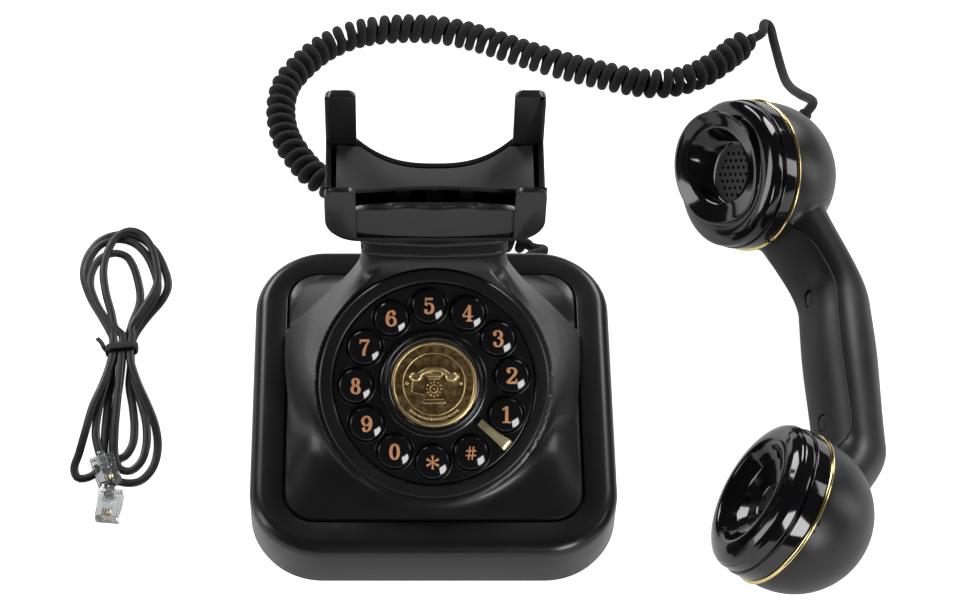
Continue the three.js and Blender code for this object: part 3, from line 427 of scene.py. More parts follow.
shoulder = [
    (SHOULDER * (1 - math.cos(a)), LEDGE_TOP - SHOULDER * (1 - math.sin(a)))
    for a in np.linspace(0, math.pi / 2, 17)
]
shell_profile = [
    (0.5, SHELL_BOTTOM), (0.12, SHELL_BOTTOM + 0.12), (0, SHELL_BOTTOM + 0.5), *shoulder,
    (LEDGE_INSET - 0.6, LEDGE_TOP), (LEDGE_INSET - 0.17, LEDGE_TOP - 0.17), (LEDGE_INSET, LEDGE_TOP - 0.6),
    (LEDGE_INSET, CASE_SEAT), (LEDGE_INSET + 5.4, CASE_SEAT), (LEDGE_INSET + 5.4, CASE_SEAT - 2.2),
    (SHOULDER, LEDGE_TOP - 2.8), (2.2, LEDGE_TOP - SHOULDER), (2.2, SHELL_BOTTOM),
]
shell = bands_mesh("base_shell", [base_band(i, z) for i, z in shell_profile], loop=True)

JACK_X = -24.0
CORD_EXIT = (40.0, BASE / 2, 11.5)
jack_hole = block("jack_hole", JACK_X - 7.3, JACK_X + 7.3, BASE / 2 - 8, BASE / 2 + 5, 7.7, 20.3)
cord_turn = Matrix.Translation(CORD_EXIT) @ Matrix.Rotation(-math.pi / 2, 4, "X")
cord_hole = rod("cord_hole", 3.7, -8, 5, matrix=cord_turn)
shell = carve(shell, jack_hole, cord_hole)
hand_over(to_object("base_shell", shell, SATIN, 30), "base", "satin_black_plastic", "plinth_shell")

tray = bands_mesh("floor_tray", [base_band(2.2, 2.0), base_band(1.0, 3.0), base_band(0.7, 5.0)])
SCREW_PLACE = BASE / 2 - LEDGE_INSET - 3.9
quarters = [(-1, -1), (1, -1), (-1, 1), (1, 1)]
sinks = [
    rod("screw_sink", 3.8, 0, 3.6, matrix=Matrix.Translation((sx * SCREW_PLACE, sy * SCREW_PLACE, 0)))
    for sx, sy in quarters
]
hand_over(to_object("floor_tray", carve(tray, *sinks), DULL, 30), "base", "dull_black_plastic", "base_tray")
print("base shell", len(shell.polygons), "faces")

# %% [markdown]
# Feet and screws repeat, so Geometry Nodes place them. The tree makes a grid of four points, sets one shape on
# each, makes the copies real and gives them their finish. The sizes are named inputs, set before the first
# evaluation, and the result becomes a plain mesh.

# %% Geometry Nodes helpers
def node_tree(name, inputs):
    """A Geometry Nodes tree with named number inputs; returns the tree, its input node and its output node."""
    tree = bpy.data.node_groups.new(name, "GeometryNodeTree")
    for label, kind, value in inputs:
        socket = tree.interface.new_socket(label, in_out="INPUT", socket_type=kind)
        socket.default_value = value
    tree.interface.new_socket("Geometry", in_out="OUTPUT", socket_type="NodeSocketGeometry")
    return tree, tree.nodes.new("NodeGroupInput"), tree.nodes.new("NodeGroupOutput")


def finish_tree(tree, instances, output, finish):
    """Makes the copies real and sets their finish."""
    real = tree.nodes.new("GeometryNodeRealizeInstances")
    tree.links.new(instances, real.inputs["Geometry"])
    coloured = tree.nodes.new("GeometryNodeSetMaterial")
    coloured.inputs["Material"].default_value = finish
    tree.links.new(real.outputs["Geometry"], coloured.inputs["Geometry"])
    tree.links.new(coloured.outputs["Geometry"], output.inputs["Geometry"])


def grown(name, tree, finish, matrix=None, sharp=35, **values):
    """Runs a tree with the given inputs and returns its result as a plain object, placed on the telephone."""
    holder = bpy.data.objects.new(name, bpy.data.meshes.new(name + "_seed"))
    bpy.context.scene.collection.objects.link(holder)
    modifier = holder.modifiers.new("grow", "NODES")
    modifier.node_group = tree
    for item in tree.interface.items_tree:
        key = item.name.lower().replace(" ", "_")
        if item.item_type == "SOCKET" and item.in_out == "INPUT" and key in values:
            modifier[item.identifier] = values[key]
    made = bpy.data.meshes.new_from_object(holder.evaluated_get(bpy.context.evaluated_depsgraph_get()))
    holder.modifiers.clear()
    bpy.data.objects.remove(holder)
    made.name = name
    made.transform(Matrix.Diagonal((0.001, 0.001, 0.001, 1)) @ (matrix or Matrix.Identity(4)))
    made.transform(Matrix.Translation(HOME))
    return to_object(name, made, finish, sharp)


def turned_copies(name, finish):
    """Copies of a round, domed peg on the four corners of a rectangle."""
    tree, entry, output = node_tree(name, [
        ("Spread X", "NodeSocketFloat", 100.0), ("Spread Y", "NodeSocketFloat", 100.0),
        ("Radius", "NodeSocketFloat", 6.0), ("Height", "NodeSocketFloat", 2.0),
        ("Edge", "NodeSocketFloat", 0.4),
    ])
    grid = tree.nodes.new("GeometryNodeMeshGrid")
    grid.inputs["Vertices X"].default_value = 2
    grid.inputs["Vertices Y"].default_value = 2
    tree.links.new(entry.outputs["Spread X"], grid.inputs["Size X"])
    tree.links.new(entry.outputs["Spread Y"], grid.inputs["Size Y"])
    peg = tree.nodes.new("GeometryNodeMeshCylinder")
    peg.inputs["Vertices"].default_value = 48
    tree.links.new(entry.outputs["Radius"], peg.inputs["Radius"])
    tree.links.new(entry.outputs["Height"], peg.inputs["Depth"])
    shrink = tree.nodes.new("ShaderNodeMath")
    shrink.operation = "SUBTRACT"
    tree.links.new(entry.outputs["Radius"], shrink.inputs[0])
    tree.links.new(entry.outputs["Edge"], shrink.inputs[1])
    skirt = tree.nodes.new("GeometryNodeMeshCone")
    skirt.inputs["Vertices"].default_value = 48
    tree.links.new(entry.outputs["Radius"], skirt.inputs["Radius Bottom"])
    tree.links.new(shrink.outputs[0], skirt.inputs["Radius Top"])
    tree.links.new(entry.outputs["Edge"], skirt.inputs["Depth"])
    flip = tree.nodes.new("GeometryNodeTransform")
    flip.inputs["Rotation"].default_value = (math.pi, 0, 0)
    tree.links.new(skirt.outputs["Mesh"], flip.inputs["Geometry"])
    drop = tree.nodes.new("ShaderNodeMath")
    drop.operation = "MULTIPLY"
    drop.inputs[1].default_value = -0.5
    tree.links.new(entry.outputs["Height"], drop.inputs[0])
    along = tree.nodes.new("ShaderNodeCombineXYZ")
    tree.links.new(drop.outputs[0], along.inputs["Z"])
    tree.links.new(along.outputs["Vector"], flip.inputs["Translation"])
    joined = tree.nodes.new("GeometryNodeJoinGeometry")
    tree.links.new(peg.outputs["Mesh"], joined.inputs["Geometry"])
    tree.links.new(flip.outputs["Geometry"], joined.inputs["Geometry"])
    copies = tree.nodes.new("GeometryNodeInstanceOnPoints")
    tree.links.new(grid.outputs["Mesh"], copies.inputs["Points"])
    tree.links.new(joined.outputs["Geometry"], copies.inputs["Instance"])
    finish_tree(tree, copies.outputs["Instances"], output, finish)
    return tree


# %% Feet and tray screws
feet = grown(
    "rubber_feet", turned_copies("feet_on_a_rectangle", RUBBER), RUBBER,
    Matrix.Translation((0, 0, FOOT_HEIGHT / 2 + 0.25)),
    spread_x=2 * (SCREW_PLACE - 13), spread_y=2 * (SCREW_PLACE - 11), radius=6.2, height=FOOT_HEIGHT - 0.5,
    edge=0.5,
)
hand_over(feet, "base", "black_rubber", "foot_1", "foot_2", "foot_3", "foot_4")
heads = grown(
    "tray_screw_heads", turned_copies("screws_on_a_rectangle", STEEL), STEEL,
    Matrix.Translation((0, 0, 2.9)),
    spread_x=2 * SCREW_PLACE, spread_y=2 * SCREW_PLACE, radius=3.4, height=0.9, edge=0.4,
)
hand_over(heads, "base", "steel", "tray_screw_1", "tray_screw_2", "tray_screw_3", "tray_screw_4")
print("feet", len(feet.data.polygons), "faces; screw heads", len(heads.data.polygons))

# %% [markdown]
# The upper case is the hard shape: a concave pyramid that rises into a flat neck, with a round boss for the
# dial growing out of its front. Both are written as a field, a number that is negative inside, and a smooth
# minimum melts one into the other. The skin is then found by walking in from outside along rays from an
# upright line, once for each angle and height.

# %% Case field
NECK_WIDTH, NECK_FRONT, NECK_BACK, NECK_TOP = 55.0, 18.0, 37.0, 111.5
DIAL_TILT = math.radians(36)
DIAL_CENTRE = np.array((0.0, -17.2, 61.6))
BEZEL_DEPTH = 2.7
CASE_FOOT_TOP = LEDGE_TOP + 1.2
FLARE_TOP = 100.0
CASE_AXIS_Y = 27.0
BOSS_RADIUS, BOSS_FLARE, BOSS_BACK, MELT = 46.2, 0.3, 28.0, 7.0


def pyramid(x, y, z):
    t = np.clip((z - CASE_FOOT_TOP) / (FLARE_TOP - CASE_FOOT_TOP), 0, 1)
    side, front, corner = (1 - t) ** 2.6, (1 - t) ** 2.1, np.sin(math.pi * t)
    half_x = NECK_WIDTH / 2 + (CASE_HALF - NECK_WIDTH / 2) * side
    lean = NECK_FRONT + np.maximum(0, NECK_TOP - z) * 0.09
    front_y = lean - (CASE_HALF + lean) * front
    back_y = NECK_BACK + (CASE_HALF - NECK_BACK) * side
    half_y = (back_y - front_y) / 2
    power = 7 - 3.4 * corner
    u, v = np.abs(x) / half_x, np.abs(y - (back_y + front_y) / 2) / half_y
    return ((u**power + v**power) ** (1 / power) - 1) * np.minimum(half_x, half_y)


def boss(x, y, z):
    dy, dz = y - DIAL_CENTRE[1], z - DIAL_CENTRE[2]
    along = dy * math.cos(DIAL_TILT) + dz * math.sin(DIAL_TILT)
    above = -dy * math.sin(DIAL_TILT) + dz * math.cos(DIAL_TILT) + BEZEL_DEPTH + GAP
    return np.maximum(
        np.maximum(np.hypot(x, along) - BOSS_RADIUS + BOSS_FLARE * above, above), y - BOSS_BACK
    )


def case_field(x, y, z):
    a, b = pyramid(x, y, z), boss(x, y, z)
    h = np.maximum(MELT - np.abs(a - b), 0)
    return np.minimum(a, b) - h * h / (4 * MELT)


def reach_of(field, angles, heights, axis_y, furthest=100.0):
    """The outermost point inside a field, for each height and angle, by a coarse walk and then halving."""
    c, s = np.cos(angles)[None, :], np.sin(angles)[None, :]
    z = heights[:, None]
    outer = np.full((len(heights), len(angles)), furthest)
    for _ in range(int(furthest) - 1):
        outside = field(outer * c, axis_y + outer * s, z) >= 0
        outer = np.where(outside & (outer > 1), outer - 1, outer)
    inner, far = outer, outer + 1
    for _ in range(18):
        middle = (inner + far) / 2
        inside = field(middle * c, axis_y + middle * s, z) < 0
        inner, far = np.where(inside, middle, inner), np.where(inside, far, middle)
    return inner


# %% Case skin
CASE_SIDES = 360
case_angles = np.arange(CASE_SIDES) / CASE_SIDES * 2 * math.pi
levels = np.concatenate([np.arange(30.2, 92, 0.6), np.arange(92, NECK_TOP - 0.3, 0.35), [NECK_TOP]])
reach = reach_of(case_field, case_angles, levels, CASE_AXIS_Y)

# two rolled beads run round the neck, the upper one fuller
beads = [(103.4, 1.9, 1.25), (95.4, 1.5, 0.8)]
for middle, half_height, depth in beads:
    swell = np.clip(1 - ((levels - middle) / half_height) ** 2, 0, 1) ** 0.5 * depth
    reach = reach + swell[:, None] * (levels[:, None] > 90)


def square_reach(half, corner):
    """How far a rounded square reaches from the case's upright line, at each angle."""
    edge = rounded_square(half, half, corner, 30) - np.array((0, CASE_AXIS_Y))
    following = np.roll(edge, -1, axis=0)
    span = following - edge
    c, s = np.cos(case_angles)[:, None], np.sin(case_angles)[:, None]
    across = c * span[:, 1] - s * span[:, 0]
    across = np.where(np.abs(across) < 1e-9, 1e-9, across)
    r = (edge[:, 0] * span[:, 1] - edge[:, 1] * span[:, 0]) / across
    t = (edge[:, 0] * s - edge[:, 1] * c) / across
    hit = (r > 0) & (t >= -1e-9) & (t <= 1 + 1e-9)
    return np.where(hit, r, 0).max(axis=1)


foot_rows = [(0, CASE_SEAT + GAP), (0, 28.5), (0.25, 28.95), (0.8, 29.25)]
foot_reach = [square_reach(CASE_HALF - inset, CASE_CORNER - inset) for inset, _ in foot_rows]
all_reach = np.vstack([*foot_reach, reach])
all_levels = np.concatenate([[z for _, z in foot_rows], levels])
case_bands = np.stack([
    all_reach * np.cos(case_angles), CASE_AXIS_Y + all_reach * np.sin(case_angles),
    np.repeat(all_levels[:, None], CASE_SIDES, axis=1),
], axis=-1)
DIAL = Matrix.Translation(DIAL_CENTRE) @ Matrix.Rotation(DIAL_TILT, 4, "X")
BEZEL_RADIUS = 44.5
seat_cut = rod("dial_seat", BEZEL_RADIUS + GAP, -BEZEL_DEPTH - GAP, 30, 180, DIAL)
case_mesh = carve(bands_mesh("upper_case_shell", case_bands), seat_cut)
hand_over(
    to_object("upper_case_shell", case_mesh, CASE_SATIN, 32), "base", "satin_black_plastic", "upper_case"
)
print("upper case", len(case_mesh.polygons), "faces")

# %% [markdown]
# The dial is a keypad dressed as a rotary dial. Its bezel and face are turned about the dial's own axis, and a
# matrix lays them on the tilted boss. Twelve holes are cut through the face, one for each key.

# %% Bezel and face
FACE_RADIUS = 38.8
FACE_TOP = -0.9
KEY_CIRCLE, KEY_RADIUS, KEY_CLEARANCE = 30.2, 6.6, 0.6
KEY_PITCH, FIRST_KEY = math.radians(29.2), math.radians(113)  # clockwise from the top
KEY_NAMES = ["1", "2", "3", "4", "5", "6", "7", "8", "9", "0", "star", "hash"]
MEDALLION_RADIUS, RIM_RADIUS = 16.7, 21.0


def on_dial(angle, radius):
    """A point on the dial, from an angle clockwise from the top."""
    return radius * math.sin(angle), radius * math.cos(angle)


bezel = turned("bezel", [
    (FACE_RADIUS + GAP, -BEZEL_DEPTH), (BEZEL_RADIUS, -BEZEL_DEPTH), (BEZEL_RADIUS, -0.7),
    (BEZEL_RADIUS - 0.7, 0), (FACE_RADIUS + 0.9, 0), (FACE_RADIUS + GAP, -0.5),
], 192, DIAL, 0.35, closed=True)
hand_over(to_object("bezel", bezel, SATIN, 50), "base", "satin_black_plastic", "dial_bezel")

face_profile = [
    (0, FACE_TOP - 2), (FACE_RADIUS, FACE_TOP - 2), (FACE_RADIUS, FACE_TOP - 0.25),
    (FACE_RADIUS - 0.35, FACE_TOP), (FACE_RADIUS - 1.6, FACE_TOP - 0.02), (34, FACE_TOP - 0.25),
    (28, FACE_TOP - 0.38), (22, FACE_TOP - 0.25), (20, FACE_TOP - 0.1), (19.5, FACE_TOP - 1),
    (0, FACE_TOP - 1),
]
face = turned("dial_plate", face_profile, 240, DIAL, 0.3)
holes = []
for index in range(12):
    x, y = on_dial(FIRST_KEY - index * KEY_PITCH, KEY_CIRCLE)
    holes.append(
        rod("key_hole", KEY_RADIUS + KEY_CLEARANCE, -4, 1, 72, DIAL @ Matrix.Translation((x, y, 0)))
    )
STOP_ANGLE = math.radians(130)
tip_x, tip_y = on_dial(STOP_ANGLE, FACE_RADIUS - 1.4)
slot_turn = DIAL @ Matrix.Translation((tip_x, tip_y, 0)) @ Matrix.Rotation(-STOP_ANGLE, 4, "Z")
holes.append(block("stop_slot", -2.9, 2.9, -0.9, 0.9, -4, 2, slot_turn))
face = carve(face, *holes)
hand_over(to_object("dial_plate", face, FACE, 30), "base", "glossy_black_plastic", "dial_face")
print("dial plate", len(face.polygons), "faces")

# %% [markdown]
# A fine collar stands round every key hole. The collars repeat on an arc, so a tree grows them: points on a
# circle, a torus on each, and the gap in the arc left where the finger stop sits.

# %% Key collars
def ring_of_rings(name, finish):
    """Small tori on an arc of points, each lying flat."""
    tree, entry, output = node_tree(name, [
        ("Count", "NodeSocketInt", 12), ("Circle", "NodeSocketFloat", 30.0),
        ("First", "NodeSocketFloat", 0.0), ("Pitch", "NodeSocketFloat", 0.5),
        ("Ring", "NodeSocketFloat", 7.0), ("Wire", "NodeSocketFloat", 0.3),
    ])
    line = tree.nodes.new("GeometryNodeMeshLine")
    tree.links.new(entry.outputs["Count"], line.inputs["Count"])
    index = tree.nodes.new("GeometryNodeInputIndex")
    turn = tree.nodes.new("ShaderNodeMath")
    turn.operation = "MULTIPLY_ADD"
    tree.links.new(index.outputs[0], turn.inputs[0])
    tree.links.new(entry.outputs["Pitch"], turn.inputs[1])
    tree.links.new(entry.outputs["First"], turn.inputs[2])
    spot = tree.nodes.new("ShaderNodeCombineXYZ")
    for axis, wave in (("X", "SINE"), ("Y", "COSINE")):
        part = tree.nodes.new("ShaderNodeMath")
        part.operation = wave
        tree.links.new(turn.outputs[0], part.inputs[0])
        scaled = tree.nodes.new("ShaderNodeMath")
        scaled.operation = "MULTIPLY"
        tree.links.new(part.outputs[0], scaled.inputs[0])
        tree.links.new(entry.outputs["Circle"], scaled.inputs[1])
        tree.links.new(scaled.outputs[0], spot.inputs[axis])
    moved = tree.nodes.new("GeometryNodeSetPosition")
    tree.links.new(line.outputs["Mesh"], moved.inputs["Geometry"])
    tree.links.new(spot.outputs["Vector"], moved.inputs["Position"])
    path = tree.nodes.new("GeometryNodeCurvePrimitiveCircle")
    path.inputs["Resolution"].default_value = 72
    tree.links.new(entry.outputs["Ring"], path.inputs["Radius"])
    section = tree.nodes.new("GeometryNodeCurvePrimitiveCircle")
    section.inputs["Resolution"].default_value = 10
    tree.links.new(entry.outputs["Wire"], section.inputs["Radius"])
    torus = tree.nodes.new("GeometryNodeCurveToMesh")
    tree.links.new(path.outputs["Curve"], torus.inputs["Curve"])
    tree.links.new(section.outputs["Curve"], torus.inputs["Profile Curve"])
    copies = tree.nodes.new("GeometryNodeInstanceOnPoints")
    tree.links.new(moved.outputs["Geometry"], copies.inputs["Points"])
    tree.links.new(torus.outputs["Mesh"], copies.inputs["Instance"])
    finish_tree(tree, copies.outputs["Instances"], output, finish)
    return tree


collars = grown(
    "key_collars", ring_of_rings("collars_on_the_dial", FACE), FACE,
    DIAL @ Matrix.Translation((0, 0, FACE_TOP - 0.26)), sharp=80,
    count=12, circle=KEY_CIRCLE, first=FIRST_KEY - 11 * KEY_PITCH, pitch=KEY_PITCH, ring=KEY_RADIUS + 0.82,
    wire=0.3,
)
hand_over(collars, "base", "glossy_black_plastic")
print("collars", len(collars.data.polygons), "faces")

# %% [markdown]
# A key is a low glossy dome that catches a window of light. Its character is printed on the dome in a bold
# face with slab feet and round ends. Each character is drawn here from strokes: a stroke is thick where it
# runs upright and thin where it runs level, as a pen of that style makes it, and is laid on the dome.

# %% Strokes
THICK, THIN = 0.19, 0.085


def bend_through(points, steps=8):
    """A smooth line through a few points."""
    p = [np.array(q, dtype=float) for q in points]
    p = [2 * p[0] - p[1], *p, 2 * p[-1] - p[-2]]
    made = []
    for i in range(1, len(p) - 2):
        for k in range(steps):
            t = k / steps
            made.append(0.5 * (
                2 * p[i] + (p[i + 1] - p[i - 1]) * t
                + (2 * p[i - 1] - 5 * p[i] + 4 * p[i + 1] - p[i + 2]) * t**2
                + (3 * p[i] - p[i - 1] - 3 * p[i + 1] + p[i + 2]) * t**3
            ))
    made.append(p[-2])
    return np.array(made)


def ribbon(points, widths=None, closed=False):
    """The two edges of a stroke; its width follows its direction unless widths are given."""
    line = np.array(points, dtype=float)
    way = np.gradient(line, axis=0)
    if closed:
        way = np.roll(line, -1, axis=0) - np.roll(line, 1, axis=0)
    way /= np.linalg.norm(way, axis=1)[:, None] + 1e-9
    half = (THIN + (THICK - THIN) * np.abs(way[:, 1]) ** 1.5) / 2
    if widths is not None:
        half = np.interp(np.linspace(0, 1, len(line)), np.linspace(0, 1, len(widths)), widths) / 2
    side = np.column_stack([-way[:, 1], way[:, 0]]) * half[:, None]
    return line + side, line - side, closed


def straight(a, b, width, end_width=None):
    return ribbon(np.linspace(a, b, 7), [width, end_width or width])


def dot(x, y, r=0.105):
    """A round end: a short stroke as wide as it is long."""
    t = np.linspace(-1, 1, 13)
    return ribbon(
        np.column_stack([x + r * t, np.full(13, y)]), list(2 * r * np.sqrt(np.maximum(0, 1 - t**2)) + 0.004)
    )


def loop_of(x, y, rx, ry):
    a = np.arange(40) / 40 * 2 * math.pi
    return ribbon(np.column_stack([x + rx * np.cos(a), y + ry * np.sin(a)]), closed=True)


SIX = [(0.19, 0.33), (0.06, 0.45), (-0.15, 0.33), (-0.25, 0.02), (-0.21, -0.29), (-0.01, -0.45), (0.2, -0.32),
       (0.23, -0.13), (0.12, 0.06), (-0.04, 0.08), (-0.2, -0.06)]
CHARACTERS = {
    "0": [loop_of(0, 0, 0.23, 0.445)],
    "1": [straight((0.03, 0.5), (0.03, -0.5), THICK), straight((-0.22, -0.455), (0.28, -0.455), 0.09),
          straight((0.0, 0.46), (-0.22, 0.3), 0.1)],
    "2": [dot(-0.19, 0.24), ribbon(bend_through([(-0.26, 0.24), (-0.19, 0.42), (0.02, 0.455), (0.21, 0.33),
          (0.19, 0.12), (0.0, -0.12), (-0.17, -0.29), (-0.27, -0.45)])),
          straight((-0.27, -0.42), (0.25, -0.42), 0.15), straight((0.25, -0.45), (0.27, -0.2), 0.08)],
    "3": [dot(-0.19, 0.27), ribbon(bend_through([(-0.26, 0.28), (-0.14, 0.44), (0.04, 0.455), (0.19, 0.33),
          (0.17, 0.13), (-0.02, 0.04)])), ribbon(bend_through([(-0.02, 0.04), (0.19, -0.03), (0.24, -0.22),
          (0.13, -0.41), (-0.06, -0.455), (-0.25, -0.3)])), dot(-0.19, -0.28)],
    "4": [straight((0.1, 0.48), (-0.29, -0.14), 0.09), straight((-0.31, -0.18), (0.31, -0.18), 0.1),
          straight((0.1, 0.5), (0.1, -0.5), THICK), straight((-0.08, -0.455), (0.28, -0.455), 0.09)],
    "5": [straight((-0.19, 0.42), (0.23, 0.42), 0.15), straight((-0.19, 0.47), (-0.21, 0.02), 0.075),
          ribbon(bend_through([(-0.21, 0.04), (-0.05, 0.14), (0.15, 0.09), (0.24, -0.14), (0.15, -0.38),
          (-0.04, -0.455), (-0.25, -0.33)])), dot(-0.18, -0.29)],
    "6": [ribbon(bend_through(SIX)), dot(0.17, 0.29)],
    "7": [straight((-0.27, 0.42), (0.27, 0.42), 0.15), straight((-0.26, 0.48), (-0.26, 0.22), 0.08),
          ribbon(bend_through([(0.26, 0.42), (0.09, 0.12), (-0.03, -0.18), (-0.06, -0.5)]), [0.08, 0.16, 0.2])],
    "8": [loop_of(0, 0.235, 0.165, 0.205), loop_of(0, -0.215, 0.21, 0.235)],
    "9": [ribbon(bend_through([(-x, -y) for x, y in SIX])), dot(-0.17, -0.29)],
    "star": [straight((0.0, 0.0), (0.42 * math.sin(a), 0.42 * math.cos(a)), 0.05, 0.16)
             for a in np.arange(6) / 6 * 2 * math.pi],
    "hash": [straight((-0.06, 0.4), (-0.16, -0.4), 0.085), straight((0.16, 0.4), (0.06, -0.4), 0.085),
             straight((-0.3, 0.14), (0.32, 0.14), 0.085), straight((-0.32, -0.14), (0.3, -0.14), 0.085)],
}
print("characters", list(CHARACTERS))

# %% Keys
CHARACTER_HEIGHT = 6.4
DOME_TOP, DOME_EDGE = 2.35, 0.7


def dome(r):
    """Height of the key's top at a distance from its middle."""
    return DOME_TOP - (DOME_TOP - DOME_EDGE - 0.35) * (np.minimum(r, KEY_RADIUS) / KEY_RADIUS) ** 2.4


def key_mesh(name, matrix):
    rings = [(r, float(dome(r))) for r in np.linspace(0, KEY_RADIUS - 0.55, 22)]
    rim = [(KEY_RADIUS - 0.2, 0.86), (KEY_RADIUS - 0.03, 0.6), (KEY_RADIUS, 0.3)]
    under = [(KEY_RADIUS, -3.3), (KEY_RADIUS + 0.9, -3.3), (KEY_RADIUS + 0.9, -4.2), (0, -4.2)]
    return turned(name, [*rings, *rim, *under], 72, matrix, 0.12)


def printed(name, strokes, matrix):
    """Lays strokes on a key's dome as thin closed strips."""
    points, faces = [], []
    for left, right, closed in strokes:
        start, count = len(points), len(left)
        for l, r in zip(left * CHARACTER_HEIGHT, right * CHARACTER_HEIGHT):
            for p, drop in ((l, 0.04), (r, 0.04), (r, -0.15), (l, -0.15)):
                points.append((p[0], p[1], float(dome(np.hypot(*p))) + drop))
        for i in range(count if closed else count - 1):
            a, b = start + 4 * i, start + 4 * ((i + 1) % count)
            faces += [(a + k, a + (k + 1) % 4, b + (k + 1) % 4, b + k) for k in range(4)]
        if not closed:
            faces += [
                (start + 3, start + 2, start + 1, start),
                tuple(start + 4 * (count - 1) + k for k in range(4))
            ]
    return mesh_from(name, points, faces, matrix)


for index, key_name in enumerate(KEY_NAMES):
    x, y = on_dial(FIRST_KEY - index * KEY_PITCH, KEY_CIRCLE)
    spot = DIAL @ Matrix.Translation((x, y, 0))
    node = "key_" + key_name
    cap = to_object(node + "_cap", key_mesh(node + "_cap", spot), KEY, 40)
    hand_over(cap, node, "glossy_black_key", node)
    mark = to_object(node + "_mark", printed(node + "_mark", CHARACTERS[key_name], spot), INK, 30)
    hand_over(mark, node, "glossy_black_key")
print("keys", len(KEY_NAMES), "with", len(cap.data.polygons), "faces each")

# %% [markdown]
# The medallion is struck brass: a bright rim, a thin inner ring, a ring of beads, two small rivets, and a
# picture of an old telephone in relief. The relief is a height for every point of a fine disc. Each part of
# the picture is a distance from a simple shape, and a soft step turns the distance into a raised edge.

# %% Medallion relief
def soft_step(distance, height, edge=0.28):
    """Full height inside a shape, falling to nothing over its edge."""
    t = np.clip(0.5 - distance / edge, 0, 1)
    return height * t * t * (3 - 2 * t)


def bar(x, y, a, b, radius):
    """Distance from a thick line."""
    a, b = np.array(a), np.array(b)
    t = np.clip(((x - a[0]) * (b - a)[0] + (y - a[1]) * (b - a)[1]) / np.dot(b - a, b - a), 0, 1)
    return np.hypot(x - a[0] - t * (b - a)[0], y - a[1] - t * (b - a)[1]) - radius


def picture(x, y):
    """Height of the telephone in relief."""
    waist = 2.0 + 1.6 * np.clip((-1.8 - y) / 3.6, 0, 1) ** 1.5
    body = np.maximum(np.abs(x) - waist, np.maximum(y - 2.6, -5.2 - y))
    base = np.minimum(
        bar(x, y, (-3.4, -6.1), (3.4, -6.1), 0.42), bar(x, y, (-2.9, -5.1), (2.9, -5.1), 0.25)
    )
    cradle = np.minimum(bar(x, y, (-2.2, 3.0), (2.2, 3.0), 0.75), bar(x, y, (-1.6, 1.9), (1.6, 1.9), 0.5))
    handle = np.maximum(np.abs(np.hypot(x, (y + 2.6) * 0.95) - 7.1) - 0.85, np.abs(x) - 5.6)
    handle = np.where(y > 1.8, handle, 9.0)
    cups = np.minimum(np.hypot((np.abs(x) - 5.9) * 0.72, (y - 2.3) * 0.95) - 1.45, 9)
    dial = np.hypot(x, y + 1.6)
    high_part = np.maximum.reduce([
        soft_step(body, 0.35, 0.6), soft_step(base, 0.7, 0.3), soft_step(cradle, 0.95, 0.5),
        soft_step(handle, 1.15, 0.9), soft_step(cups, 1.2, 1.1),
    ])
    around = np.arctan2(y + 1.6, x)
    petals = np.hypot(dial - 2.3, 2.3 * 2 / 12 * np.arcsin(np.clip(np.sin(6 * around), -1, 1))) - 0.34
    hub = soft_step(dial - 0.45, 0.6, 0.3)
    rosette = soft_step(petals, 0.75, 0.3) + soft_step(np.abs(dial - 1.25) - 0.16, 0.5, 0.25) + hub
    cord = np.minimum(bar(x, y, (-7.0, 1.4), (-7.2, -2.6), 0.2), bar(x, y, (-7.2, -2.6), (-3.2, -3.5), 0.2))
    return high_part + rosette + soft_step(cord, 0.55, 0.25)


MEDALLION_FLOOR = FACE_TOP + 1.25
radii = np.concatenate([np.linspace(0.06, 12.4, 100), np.linspace(12.5, MEDALLION_RADIUS, 36)])
spokes = np.arange(300) / 300 * 2 * math.pi
rr, aa = np.meshgrid(radii, spokes, indexing="ij")
xx, yy = rr * np.cos(aa), rr * np.sin(aa)
relief = np.where(rr < 11.5, picture(xx / 1.18, yy / 1.18), 0.0)
relief += soft_step(np.abs(rr - 12.0) - 0.22, 0.32, 0.3)
relief += soft_step(15.25 - rr, 0.62, 0.7) - soft_step(MEDALLION_RADIUS - 0.3 - rr, 0.35, 0.6)
bands = np.stack([xx, yy, MEDALLION_FLOOR + relief], axis=-1)
wall_band = bands[-1].copy()
wall_band[:, 2] = MEDALLION_FLOOR - 1.1
medal = bands_mesh("medallion_disc", [*bands, wall_band], matrix=DIAL)
medal.materials.append(PATINA)
medal.materials.append(BRIGHT_BRASS)
disc_object = to_object("medallion_disc", medal, sharp=60)
bright = []
inverse = DIAL.inverted()
for face_piece in medal.polygons:
    spot = inverse @ ((face_piece.center - HOME) * 1000)
    r = math.hypot(spot.x, spot.y)
    raised = spot.z - MEDALLION_FLOOR
    bright.append(1 if r > 15.2 or abs(r - 12.0) < 0.2 or (r < 11.3 and raised > 0.42) else 0)
medal.polygons.foreach_set("material_index", bright)
hand_over(disc_object, "base", "antique_brass", "medallion")

beads_ring = grown(
    "medallion_beads", ring_of_rings("beads_on_the_medallion", BRIGHT_BRASS), BRIGHT_BRASS,
    DIAL @ Matrix.Translation((0, 0, MEDALLION_FLOOR + 0.02)), sharp=80,
    count=17, circle=13.65, first=math.radians(139), pitch=math.radians(5.125), ring=0.28, wire=0.26,
)
hand_over(beads_ring, "base", "antique_brass")
rivet_profile = [(0, 0.62), (0.35, 0.56), (0.65, 0.35), (0.78, 0.0), (0.78, -0.3), (0, -0.3)]
for side in (-1, 1):
    spot = DIAL @ Matrix.Translation((side * 10.4, 0.3, MEDALLION_FLOOR))
    rivet = to_object(
        "medallion_rivet", turned("medallion_rivet", rivet_profile, 24, spot, 0.1), BRIGHT_BRASS, 60
    )
    hand_over(rivet, "base", "antique_brass")

